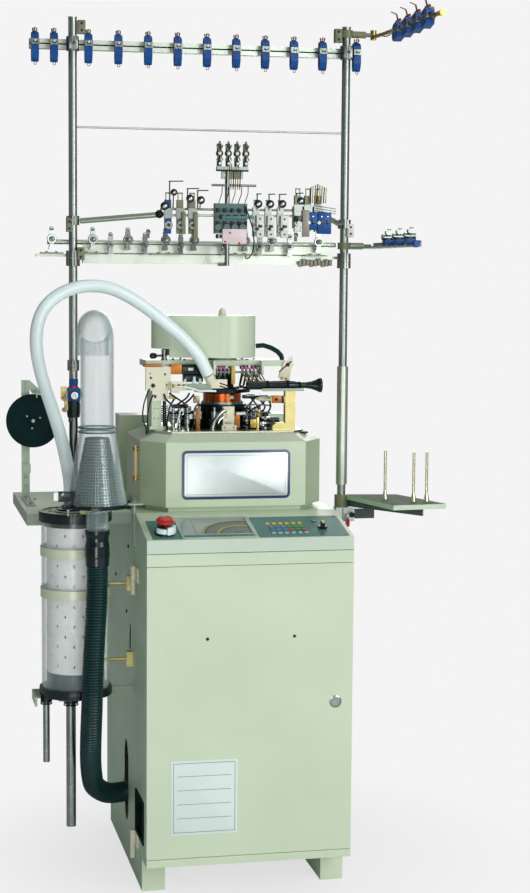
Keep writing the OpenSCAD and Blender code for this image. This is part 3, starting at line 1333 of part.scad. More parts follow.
// Side arms, from the right post towards the operator
arm_x = 82;  // the arm's forward rod, from the post's axis
grip_x = [16, 58];
unit_pitch = 92;
unit_count = 4;
unit_start = -262;
module side_arm_root(z, collar) difference() {
    union() {
        translate([0, 0, z - collar / 2]) cylinder(r = post_r + 7, h = collar);
        translate([8, 0, z]) rotate([0, 90, 0]) cylinder(r = 6, h = arm_x - 8);
        translate([grip_x[0], 0, z]) rotate([0, 90, 0]) cylinder(r = 10, h = grip_x[1] - grip_x[0]);
    }
    translate([0, 0, z - collar]) cylinder(r = post_r + running, h = 2 * collar);
}

module clip_unit() {
    on_side(-12, 0, 0, 24) polygon([[-26, -4], [-22, -14], [14, -22], [24, -12], [26, 12], [16, 24], [-18, 32], [-24, 22]]);
    wire([[0, -10, 22], [-14, -30, 46], [-28, -30, 52]], 1.5);
    wire([[4, 8, 20], [-8, -2, 52], [-24, -6, 56]], 1.5);
}

upper_collar = 22;
module upper_arm() placed() translate([post_right, post_y, 0]) {
    color(steel) side_arm_root(upper_arm_z, upper_collar);
    color(brass) {
        translate([arm_x, 0, upper_arm_z - 14]) cylinder(r = 9, h = 28);
        bar([arm_x, 0, upper_arm_z - 6], [arm_x, -arm_reach + 6, upper_arm_z - 24], 6);
        translate([arm_x, -arm_reach, upper_arm_z - 24]) rotate([-90, 0, 0]) cylinder(r = 8, h = 12);
    }
    color(blue) for (k = [0:unit_count - 1])
        translate([arm_x, unit_start - k * unit_pitch, upper_arm_z - 26]) clip_unit();
}

wedge_t = 5;
lower_clips = [-210, -320, -430];
module lower_arm() placed() translate([post_right, post_y, 0]) {
    color(steel) {
        side_arm_root(lower_arm_z, 20);
        // Wedge plate with a folded edge
        translate([0, 0, lower_arm_z - 8]) linear_extrude(wedge_t)
            polygon([[26, 8], [arm_x + 14, 8], [arm_x + 14, -472], [arm_x - 16, -480], [60, -440]]);
        translate([arm_x + 10, -472, lower_arm_z - 8]) cube([4, 480, 18]);
    }
    color(blue) for (y = lower_clips) translate([arm_x - 4, y, lower_arm_z - 3 - through]) {
        translate([-16, -14, 0]) cube([26, 28, 18 + through]);
        translate([-4, 0, 18]) cylinder(r = 4, h = 14);
        translate([-18, 0, 26]) rotate([0, 90, 0]) cylinder(r = 8, h = 30);
        translate([-4, 0, 40]) rotate([90, 0, 0]) cylinder(r = 7, h = 16, center = true);
        translate([-4, 0, 26]) cylinder(r = 3, h = 14);
    }
}

base_cabinet();
base_skids();
rear_cover();
rear_housing();
gear_housing();
oil_gauge();
machine_plate();
cam_box();
sinker_cap();
actuators();
side_column();
feeder_plates();
yarn_tower();
bridge_plate();
drum_cover();
dial_hub();
trumpet_tube();
white_hose();
head_hoses();
filter_tube();
filter_screen();
filter_caps();
filter_clamps();
drain_tubes();
side_brackets();
funnel_shell();
funnel_screen();
suction_couplings();
clear_pipes();
suction_hose();
left_table();
reel_bracket();
creel_posts();
post_clamps();
top_rail();
thread_detectors();
middle_rails();
tensioners();
yarn_sensors();
air_unit();
drive_motor();
drive_belt();
control_box();
console();
console_panels();
side_grille();
electrics();
front_door();
door_lock();
estop_button();
selector_knob();
needle_cylinder();
dial();
motor_pulley();
yarn_fingers();
reel_disc();
air_knob();
right_table();
upper_arm();
lower_arm();
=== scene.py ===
import functools
import logging
import math
from collections.abc import Callable, Sequence
from dataclasses import dataclass, field
from enum import Enum

import bmesh
import bpy
import numpy as np
from mathutils import Matrix, Vector


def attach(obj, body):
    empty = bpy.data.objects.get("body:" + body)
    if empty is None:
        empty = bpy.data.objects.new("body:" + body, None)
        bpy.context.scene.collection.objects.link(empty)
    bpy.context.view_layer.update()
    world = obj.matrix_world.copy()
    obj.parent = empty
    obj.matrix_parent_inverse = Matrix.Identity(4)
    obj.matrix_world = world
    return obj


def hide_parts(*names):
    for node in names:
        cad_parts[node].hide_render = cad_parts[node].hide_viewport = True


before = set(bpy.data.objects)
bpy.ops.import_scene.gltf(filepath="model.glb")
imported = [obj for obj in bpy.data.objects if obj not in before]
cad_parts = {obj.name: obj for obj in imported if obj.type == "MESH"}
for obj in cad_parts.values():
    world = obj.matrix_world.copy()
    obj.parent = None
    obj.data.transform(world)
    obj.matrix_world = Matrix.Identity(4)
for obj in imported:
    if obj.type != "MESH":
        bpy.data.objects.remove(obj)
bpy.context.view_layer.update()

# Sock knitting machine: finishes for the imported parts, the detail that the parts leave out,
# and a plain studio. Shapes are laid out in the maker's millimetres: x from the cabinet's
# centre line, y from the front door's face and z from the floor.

log = logging.getLogger("sock_machine")

Point = Sequence[float]
Profile = Sequence[tuple[float, float]]
Ring = list[Vector]
Pair = tuple[float, float]
Triple = tuple[float, float, float]
Numbers = tuple[float, ...]
Rows = tuple[tuple[float, ...], ...]
Bytes = tuple[int, int, int]
Colour = tuple[float, float, float, float]
Node = bpy.types.Node
Socket = bpy.types.NodeSocket
Tree = bpy.types.NodeTree
Material = bpy.types.Material
Array = np.ndarray
Rule = Callable[[Array, Array], Array]

ORIGIN_X = 20.00971
ORIGIN_Y = 380.0
MM = 0.001
WHITE: Colour = (1.0, 1.0, 1.0, 1.0)
FUNNEL_AXIS = (-403.3, 60.0)


def metres(x: float, y: float, z: float) -> Vector:
    """A point of the maker's layout in the frame's metres."""
    return Vector(((x - ORIGIN_X) * MM, (y - ORIGIN_Y) * MM, z * MM))


def shown(name: str, data: bpy.types.ID) -> bpy.types.Object:
    """Puts an object in the scene.

    Args:
        name: its name.
        data: its mesh, light or camera.

    Returns:
        The object.
    """
    thing = bpy.data.objects.new(name, data)
    bpy.context.scene.collection.objects.link(thing)
    return thing


def linear(tint: Bytes) -> Colour:
    """A colour given as display bytes, in linear light."""
    parts = [v / 255 for v in tint]
    return (*[v / 12.92 if v <= 0.04045 else ((v + 0.055) / 1.055) ** 2.4 for v in parts], 1.0)


# ---- Shader effects that finishes share ----


@dataclass
class Board:
    """A node tree with short calls for laying out nodes."""

    tree: Tree

    def feed(self, node: Node, inputs: dict) -> None:
        """Sets or links a node's inputs.

        Args:
            node: the node.
            inputs: a value or a socket to link for each input, by name or number.
        """
        for key, value in inputs.items():
            if isinstance(value, Socket):
                self.tree.links.new(value, node.inputs[key])
            else:
                node.inputs[key].default_value = value

    def add(self, kind: str, inputs: dict | None = None, **settings: object) -> Node:
        """Adds one node.

        Args:
            kind: the node's type name without its first part, ShaderNode.
            inputs: a value or a socket to link for each input, by name or number.
            settings: properties of the node.

        Returns:
            The node.
        """
        node = self.tree.nodes.new("ShaderNode" + kind)
        for key, value in settings.items():
            setattr(node, key, value)
        self.feed(node, inputs or {})
        return node

    def group(self, tree: Tree, values: dict) -> bpy.types.bpy_prop_collection:
        """The outputs of a shared effect that is placed with its own values."""
        return self.add("Group", values, node_tree=tree).outputs

    def math(self, operation: str, *terms: object) -> Socket:
        """One Math node's result."""
        return self.add("Math", dict(enumerate(terms)), operation=operation).outputs[0]

    def aim(self, operation: str, *terms: object) -> Node:
        """One Vector Math node."""
        return self.add("VectorMath", dict(enumerate(terms)), operation=operation)

    def mix(self, share: object, a: object, b: object) -> Socket:
        """Two colours mixed by a share."""
        return self.add("Mix", {0: share, 6: a, 7: b}, data_type="RGBA").outputs[2]

    def span(self, value: object, low: float, high: float, to_low: float = 0.0,
             to_high: float = 1.0) -> Socket:
        """A value mapped from one range to another, clamped."""
        return self.add("MapRange", {0: value, 1: low, 2: high, 3: to_low, 4: to_high}).outputs[0]

    def here(self) -> Socket:
        """The object's own coordinates."""
        return self.add("TexCoord").outputs["Object"]

    def noise(self, scale: object, detail: float, rough: float = 0.5, where: Socket | None = None) -> Socket:
        """A noise texture's value, over the object's own coordinates where no others are given."""
        inputs = {"Vector": self.here() if where is None else where, "Scale": scale, "Detail": detail,
                  "Roughness": rough}
        return self.add("TexNoise", inputs).outputs[0]


COLOUR = "NodeSocketColor"
NUMBER = "NodeSocketFloat"
VECTOR = "NodeSocketVector"


def effect(name: str, takes: dict[str, str], gives: dict[str, str]) -> tuple[Board, dict[str, Socket], Node]:
    """Starts a shader node group.

    Args:
        name: the group's name.
        takes: each input's name and socket kind.
        gives: each output's name and socket kind.

    Returns:
        The board, the input sockets by name, and the output node.
    """
    tree = bpy.data.node_groups.new(name, "ShaderNodeTree")
    for names, way in ((takes, "INPUT"), (gives, "OUTPUT")):
        for title, kind in names.items():
            tree.interface.new_socket(name=title, in_out=way, socket_type=kind)
    start = tree.nodes.new("NodeGroupInput")
    return Board(tree), {n: start.outputs[n] for n in takes}, tree.nodes.new("NodeGroupOutput")


@functools.cache
def clouding() -> Tree:
    """Soft clouds between two tints, with a roughness that wanders with them."""
    takes = {"Tint": COLOUR, "Deep": COLOUR, "Scale": NUMBER, "Gloss": NUMBER, "Swing": NUMBER}
    board, take, end = effect("clouding", takes, {"Colour": COLOUR, "Roughness": NUMBER})
    share = board.span(board.noise(take["Scale"], 4.0, 0.55), 0.32, 0.72)
    fine = board.noise(board.math("MULTIPLY", take["Scale"], 9.0), 2.0)
    swing = board.math("MULTIPLY", board.math("SUBTRACT", fine, 0.5), take["Swing"])
    board.feed(end, {"Colour": board.mix(share, take["Tint"], take["Deep"]),
                     "Roughness": board.math("ADD", take["Gloss"], swing)})
    return board.tree


@functools.cache
def grain() -> Tree:
    """Fine height noise, stretched along the object's axes: orange peel, brushing or moulding grain."""
    board, take, end = effect("grain", {"Stretch": VECTOR, "Scale": NUMBER}, {"Height": NUMBER})
    where = board.aim("MULTIPLY", board.here(), take["Stretch"]).outputs[0]
    board.feed(end, {"Height": board.noise(take["Scale"], 2.0, 0.6, where)})
    return board.tree


@functools.cache
def settled_dust() -> Tree:
    """A mask of lint that settles on faces that look up."""
    board, take, end = effect("settled_dust", {"Amount": NUMBER}, {"Mask": NUMBER})
    normal = board.add("NewGeometry").outputs["Normal"]
    up = board.span(board.add("SeparateXYZ", {0: normal}).outputs[2], 0.5, 1.0)
    mask = board.math("MULTIPLY", up, board.span(board.noise(35.0, 5.0, 0.65), 0.45, 0.75))
    board.feed(end, {"Mask": board.math("MULTIPLY", mask, take["Amount"])})
    return board.tree


@functools.cache
def lattice() -> Tree:
    """A net of bars round an upright axis: a mask that is 1 on the bars and 0 in the holes."""
    takes = {"Middle": VECTOR, "Count": NUMBER, "Pitch": NUMBER}
    board, take, end = effect("lattice", takes, {"Mask": NUMBER})
    out = board.aim("SUBTRACT", board.here(), take["Middle"]).outputs[0]
    across, deep, up = board.add("SeparateXYZ", {0: out}).outputs
    turn = board.math("DIVIDE", board.math("ARCTAN2", deep, across), math.tau)
    bars = []
    for cells in (board.math("MULTIPLY", turn, take["Count"]), board.math("DIVIDE", up, take["Pitch"])):
        off_middle = board.math("ABSOLUTE", board.math("SUBTRACT", board.math("FRACT", cells), 0.5))
        bars.append(board.span(off_middle, 0.3, 0.4))
    board.feed(end, {"Mask": board.math("MAXIMUM", *bars)})
    return board.tree


# ---- Finishes ----


@dataclass(frozen=True)
class Dressing:
    """What every finish has and does: two tints, and a material with one Principled shader."""

    tint: Bytes
    deep: Bytes

    def make(self, name: str) -> Material:
        """Makes the finish's material.

        Args:
            name: the material's name.

        Returns:
            The material.
        """
        material = bpy.data.materials.new(name)
        material.use_nodes = True
        self.lay(Board(material.node_tree), material.node_tree.nodes["Principled BSDF"])
        return material

    def lay(self, board: Board, shader: Node) -> None:
        """Lays the finish's nodes; each kind of finish has its own."""
        raise NotImplementedError

    def cloud(self, board: Board, shader: Node, scale: float, gloss: float, swing: float) -> Socket:
        """Feeds the shader from the clouding effect.

        Args:
            board: the material's board.
            shader: the Principled node.
            scale: the clouds' scale.
            gloss: the middle roughness.
            swing: how far the roughness wanders.

        Returns:
            The clouded colour.
        """
        tints = {"Tint": linear(self.tint), "Deep": linear(self.deep)}
        clouds = board.group(clouding(), {**tints, "Scale": scale, "Gloss": gloss, "Swing": swing})
        board.feed(shader, {"Base Color": clouds["Colour"], "Roughness": clouds["Roughness"]})
        return clouds["Colour"]

    def dust(self, board: Board, shader: Node, colour: Socket, amount: float, tint: Bytes) -> None:
        """Lays settled lint over the shader's colour."""
        mask = board.group(settled_dust(), {"Amount": amount})["Mask"]
        board.feed(shader, {"Base Color": board.mix(mask, colour, linear(tint))})

    def bump(self, board: Board, shader: Node, scale: float, height: float, strength: float,
             stretch: Point = (1, 1, 1)) -> None:
        """Feeds the shader's normal from the grain effect.

        Args:
            board: the material's board.
            shader: the Principled node.
            scale: the grain's scale.
            height: the grain's height in metres.
            strength: the bump's strength.
            stretch: how many times finer the grain is along each axis.
        """
        height_map = board.group(grain(), {"Stretch": stretch, "Scale": scale})["Height"]
        bump = board.add("Bump", {"Height": height_map, "Distance": height, "Strength": strength})
        board.feed(shader, {"Normal": bump.outputs[0]})


@dataclass(frozen=True)
class SheetPaint(Dressing):
    """Baked enamel on sheet metal, faintly clouded, with orange peel and a little lint on top."""

    gloss: float = 0.38
    coat: float = 0.25
    lint: float = 0.25

    def lay(self, board: Board, shader: Node) -> None:
        """Lays the finish's nodes.

        Args:
            board: the material's board.
            shader: its Principled node.
        """
        colour = self.cloud(board, shader, 3.2, self.gloss, 0.1)
        self.dust(board, shader, colour, self.lint, (214, 222, 208))
        self.bump(board, shader, scale=320.0, height=0.0003, strength=0.16)
        board.feed(shader, {"Coat Weight": self.coat, "Coat Roughness": 0.12})


@dataclass(frozen=True)
class BareMetal(Dressing):
    """Metal left bright: brushed, turned, plated or cast, as the stretch and the gloss say."""

    gloss: float = 0.25
    stretch: Triple = (1, 1, 1)
    scale: float = 400.0
    strength: float = 0.15
    metal: float = 1.0

    def lay(self, board: Board, shader: Node) -> None:
        """Lays the finish's nodes.

        Args:
            board: the material's board.
            shader: its Principled node.
        """
        self.cloud(board, shader, 12.0, self.gloss, 0.16)
        self.bump(board, shader, self.scale, 0.0002, self.strength, self.stretch)
        board.feed(shader, {"Metallic": self.metal})


@dataclass(frozen=True)
class Moulding(Dressing):
    """Moulded plastic or rubber with a fine grain."""

    gloss: float = 0.4
    scale: float = 700.0
    strength: float = 0.25
    coat: float = 0.0
    lint: float = 0.0
    shine: float = 0.5

    def lay(self, board: Board, shader: Node) -> None:
        """Lays the finish's nodes.

        Args:
            board: the material's board.
            shader: its Principled node.
        """
        colour = self.cloud(board, shader, 16.0, self.gloss, 0.12)
        if self.lint:
            self.dust(board, shader, colour, self.lint, (150, 158, 150))
        self.bump(board, shader, self.scale, 0.0002, self.strength)
        board.feed(shader, {"Specular IOR Level": self.shine, "Coat Weight": self.coat,
                            "Coat Roughness": 0.1})


@dataclass(frozen=True)
class NetMetal(Dressing):
    """Perforated sheet rolled round the funnel's axis: bright bars with dark holes between them."""

    bars: float = 46.0
    pitch: float = 0.0076

    def lay(self, board: Board, shader: Node) -> None:
        """Lays the finish's nodes.

        Args:
            board: the material's board.
            shader: its Principled node.
        """
        values = {"Middle": metres(*FUNNEL_AXIS, 0), "Count": self.bars, "Pitch": self.pitch}
        mask = board.group(lattice(), values)["Mask"]
        board.feed(shader, {"Base Color": board.mix(mask, linear(self.deep), linear(self.tint)),
                            "Metallic": 0.6, "Roughness": 0.26, "Coat Weight": 0.6, "Coat Roughness": 0.1})
        self.bump(board, shader, scale=300.0, height=0.0002, strength=0.2)


@dataclass(frozen=True)
class ClearPlastic(Dressing):
    """Clear acrylic tube: open in its middle, milky along its edges, with drawing lines along it."""

    gloss: float = 0.08
    thin: float = 0.2
    thick: float = 0.85

    def lay(self, board: Board, shader: Node) -> None:
        """Lays the finish's nodes.

        Args:
            board: the material's board.
            shader: its Principled node.
        """
        self.cloud(board, shader, 9.0, self.gloss, 0.04)
        self.bump(board, shader, scale=60.0, height=0.0004, strength=0.1, stretch=(1, 1, 0.12))
        edge = board.add("LayerWeight", {"Blend": 0.5}).outputs["Facing"]
        alpha = board.span(edge, 0.25, 1.0, self.thin, self.thick)
        board.feed(shader, {"Alpha": alpha, "Coat Weight": 0.5, "Coat Roughness": 0.12})


class Finish(Enum):
    """Every finish on the machine."""

    GREEN = SheetPaint((208, 225, 197), (200, 217, 189))
    # A darker, greener copy of the green paint for faces that look left: painted shade, not a second paint.
    SIDE_GREEN = SheetPaint((184, 213, 186), (174, 204, 177), gloss=0.5, coat=0.0, lint=0.1)
    TABLE_GREEN = SheetPaint((166, 184, 164), (150, 170, 150), gloss=0.34)
    PLATE = BareMetal((214, 218, 200), (190, 198, 176), 0.3, (1, 12, 1), 90.0)
    STEEL = BareMetal((158, 166, 160), (126, 136, 131), 0.3, (1, 1, 10), 160.0)
    POST = BareMetal((164, 174, 168), (146, 157, 151), 0.34, (1, 1, 0.05), 500.0)
    CHROME = BareMetal((182, 190, 186), (156, 165, 160), 0.14, (1, 1, 1), 90.0, 0.05)
    RAIL = BareMetal((206, 216, 202), (188, 199, 186), 0.4, (0.06, 1, 1), 420.0)
    IRON = BareMetal((36, 48, 49), (18, 27, 28), 0.36, (1, 1, 1), 500.0, 0.25, 0.8)
    BRASS = BareMetal((188, 164, 96), (158, 130, 66), 0.32, (1, 1, 8), 200.0)
    ZINC = BareMetal((226, 214, 150), (206, 186, 110), 0.34, (1, 1, 1), 300.0, 0.15, 0.75)
    BRONZE = BareMetal((214, 112, 58), (170, 76, 34), 0.22, (1, 1, 14), 200.0, 0.1)
    CREAM = SheetPaint((236, 234, 210), (226, 224, 196), gloss=0.42)
    BLACK = Moulding((0, 36, 38), (0, 26, 28), 0.62, shine=0.1)
    GLOSS_BLACK = Moulding((2, 32, 34), (1, 22, 24), 0.2, 120.0, 0.05, 0.2, shine=0.35)
    RUBBER = Moulding((4, 50, 50), (2, 38, 39), 0.34, 500.0, 0.2, 0.15, shine=0.3)
    CAP_GREY = Moulding((84, 112, 111), (68, 94, 93), 0.4)
    BELT = Moulding((30, 30, 28), (20, 20, 19), 0.7)
    BLUE = Moulding((0, 82, 158), (0, 66, 130), 0.34, 300.0, 0.04, shine=0.3)
    RED = Moulding((206, 26, 30), (176, 14, 20), 0.24, 500.0, 0.08, 0.4)
    PANEL = Moulding((82, 134, 124), (70, 119, 111), 0.42, 900.0, 0.12)
    WINDOW = Moulding((172, 188, 176), (156, 174, 164), 0.2, 300.0, 0.05, 0.5)
    MILK = Moulding((238, 255, 254), (228, 248, 247), 0.3, 60.0, 0.1, 0.3)
    SCREEN_WHITE = Moulding((250, 254, 253), (236, 242, 240), 0.4)
    CLEAR = ClearPlastic((190, 212, 210), (176, 200, 197), thin=0.14, thick=0.7)
    CAN_CLEAR = ClearPlastic((240, 251, 248), (228, 240, 236), thin=0.05, thick=0.6)
    GAUGE = ClearPlastic((236, 226, 170), (226, 212, 140), 0.08, 0.5, 0.95)
    NAVY = Moulding((36, 66, 112), (28, 54, 98), 0.3, 500.0, 0.05, 0.3)
    SILVER = BareMetal((212, 222, 220), (196, 208, 206), 0.34, (0.05, 1, 1), 300.0, 0.06, 0.6)
    LABEL = SheetPaint((222, 238, 234), (214, 232, 228), gloss=0.3, lint=0.0)
    RULING = Moulding((122, 140, 150), (112, 130, 142), 0.5)
    YELLOW = Moulding((226, 208, 40), (210, 190, 30), 0.34)
    SKY = Moulding((74, 128, 186), (62, 114, 170), 0.34)
    LEAF = Moulding((46, 150, 66), (36, 134, 56), 0.34)
    MIST = Moulding((150, 212, 214), (138, 200, 204), 0.34)
    DIAL_GREY = Moulding((126, 136, 122), (114, 125, 112), 0.4)
    AMBER_PALE = Moulding((214, 212, 152), (202, 200, 138), 0.4)
    AMBER = Moulding((200, 178, 86), (188, 164, 72), 0.4)
    OCHRE = BareMetal((184, 118, 48), (146, 90, 34), 0.4, (1, 1, 1), 300.0, 0.15, 0.6)
    OLIVE = SheetPaint((128, 132, 98), (110, 114, 84), gloss=0.4)
    TAUPE = SheetPaint((150, 148, 130), (130, 128, 112), gloss=0.4)
    PINK = Moulding((190, 100, 150), (164, 78, 130), 0.3)
    IVORY = SheetPaint((226, 230, 222), (214, 219, 210), gloss=0.4)
    COPPER_WIRE = BareMetal((150, 110, 100), (120, 86, 80), 0.3)
    # A darker copy of the green for the gear housing's sides: painted shade.
    HOUSING_SIDE = SheetPaint((178, 196, 166), (164, 184, 150), gloss=0.3)
    # A paler copy of the green for the housing's upward chamfers: painted highlight.
    BEVEL = SheetPaint((216, 230, 206), (208, 222, 198))
    # A paler green for faces that look up: painted light on tops.
    TABLE_TOP = SheetPaint((226, 246, 220), (214, 236, 208), gloss=0.5)
    TABLE_DARK = SheetPaint((92, 108, 84), (80, 96, 73), gloss=0.75, coat=0.0, lint=0.1)
    LIP_GREEN = SheetPaint((202, 219, 202), (194, 211, 194))
    BAND_GREEN = SheetPaint((204, 222, 182), (196, 214, 173))
    TABLE_EDGE = SheetPaint((206, 224, 202), (196, 215, 192), gloss=0.3)
    TABLE_SHADE = SheetPaint((62, 84, 84), (48, 68, 70), gloss=0.4)
    STRAP = SheetPaint((216, 226, 200), (206, 217, 188), gloss=0.34)
    PEG_BRASS = BareMetal((232, 224, 196), (214, 204, 170), 0.24, (1, 1, 8), 200.0)
    TEAL = Moulding((60, 128, 124), (48, 112, 110), 0.34)
    PINK_WHITE = Moulding((232, 216, 218), (222, 204, 208), 0.34)
    PINK_RED = Moulding((214, 84, 84), (194, 64, 66), 0.34)
    MESH = NetMetal((124, 144, 142), (3, 12, 13))

    def material(self) -> Material:
        """The finish's material, made on first use."""
        return material_of(self)


@functools.cache
def material_of(finish: Finish) -> Material:
    """Makes a finish's material once."""
    return finish.value.make("finish_" + finish.name.lower())


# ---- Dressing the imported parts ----


def dress(node: str, *finishes: Finish, faces: Rule | None = None) -> None:
    """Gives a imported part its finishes.

    Args:
        node: the part's name.
        finishes: its finishes, the first of which covers it where no rule is given.
        faces: picks a finish by number for each face, from the middles in millimetres and the normals.
    """
    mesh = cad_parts[node].data
    mesh.materials.clear()
    for finish in finishes:
        mesh.materials.append(finish.material())
    picks = np.zeros(len(mesh.polygons), np.int32)
    if faces:
        middles = np.empty(len(picks) * 3, np.float32)
        normals = np.empty(len(picks) * 3, np.float32)
        mesh.polygons.foreach_get("center", middles)
        mesh.polygons.foreach_get("normal", normals)
        middles = middles.reshape(-1, 3) / MM + np.array([ORIGIN_X, ORIGIN_Y, 0.0])
        picks = faces(middles, normals.reshape(-1, 3)).astype(np.int32)
    mesh.polygons.foreach_set("material_index", picks)
    log.info("dressed %s in %s", node, ", ".join(f.name.lower() for f in finishes))


def dress_plain(**finishes: Finish) -> None:
    """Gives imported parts, by name, one finish each."""
    for node, finish in finishes.items():
        dress(node, finish)


# ---- Places ----


def spot(x: float, y: float, z: float, rx: float = 0.0, ry: float = 0.0, rz: float = 0.0) -> Matrix:
    """A place in the maker's millimetres, turned by degrees about x, then y, then z."""
    turn = Matrix.Rotation(math.radians(rz), 4, "Z") @ Matrix.Rotation(math.radians(ry), 4, "Y")
    return Matrix.Translation((x, y, z)) @ turn @ Matrix.Rotation(math.radians(rx), 4, "X")


def facing(x: float, y: float, z: float, turn: float = 0.0) -> Matrix:
    """A place whose z axis looks to the front."""
    return spot(x, y, z, rx=90) @ Matrix.Rotation(math.radians(turn), 4, "Z")


def sideways(x: float, y: float, z: float) -> Matrix:
    """A place whose z axis looks to the left."""
    return spot(x, y, z, ry=-90)


def beside(place: Matrix, x: float = 0.0, y: float = 0.0, z: float = 0.0) -> Matrix:
    """A place moved along its own axes."""
    return place @ Matrix.Translation((x, y, z))


def around(count: int, radius: float, x: float, y: float, start: float = 0.0) -> list[Triple]:
    """Even places on a circle.

    Args:
        count: how many.
        radius: the circle's radius.
        x: its middle, across.
        y: its middle, along the other axis.
        start: where the first one stands, as a share of the step between two.

    Returns:
        Each place's two coordinates and its angle in degrees.
    """
    turns = [math.tau * (k + start) / count for k in range(count)]
    return [(x + radius * math.cos(a), y + radius * math.sin(a), math.degrees(a)) for a in turns]


# ---- Shapes ----


def circle(radius: float, z: float, steps: int) -> Ring:
    """A ring of points round the z axis."""
    angles = [math.tau * k / steps for k in range(steps)]
    return [Vector((radius * math.cos(a), radius * math.sin(a), z)) for a in angles]


def oblong(width: float, depth: float, corner: float, z: float, steps: int = 4) -> Ring:
    """A rectangle with rounded corners.

    Args:
        width: its size across.
        depth: its size the other way.
        corner: the corners' radius.
        z: its height.
        steps: steps round each corner.

    Returns:
        A ring of points in the xy plane.
    """
    corner = max(0.01, min(corner, width / 2 - 0.01, depth / 2 - 0.01))
    ring = []
    for quarter, (sx, sy) in enumerate(((1, 1), (-1, 1), (-1, -1), (1, -1))):
        for k in range(steps + 1):
            a = math.pi / 2 * (quarter + k / steps)
            ring.append(Vector((sx * (width / 2 - corner) + corner * math.cos(a),
                                sy * (depth / 2 - corner) + corner * math.sin(a), z)))
    return ring


def smooth_path(route: Sequence[Point], step: float) -> list[Vector]:
    """A smooth curve through a route's points.

    Args:
        route: the points, in the maker's millimetres.
        step: the distance between the points that come back.

    Returns:
        Points evenly spaced along the curve, the route's two ends among them.
    """
    knots = [Vector(p) for p in route]
    ends = [knots[0] * 2 - knots[1], *knots, knots[-1] * 2 - knots[-2]]
    fine = []
    for a, b, c, d in zip(ends, ends[1:], ends[2:], ends[3:]):
        bow, twist = 2 * a - 5 * b + 4 * c - d, 3 * b - a - 3 * c + d
        for t in (k / 24 for k in range(24)):
            fine.append(0.5 * (2 * b + (c - a) * t + bow * t * t + twist * t ** 3))
    fine.append(knots[-1])
    spots = np.array(fine)
    run = np.concatenate([[0.0], np.cumsum(np.linalg.norm(np.diff(spots, axis=0), axis=1))])
    places = np.linspace(0.0, run[-1], max(2, round(run[-1] / step)) + 1)
    return [Vector(p) for p in np.stack([np.interp(places, run, spots[:, k]) for k in range(3)], axis=1)]


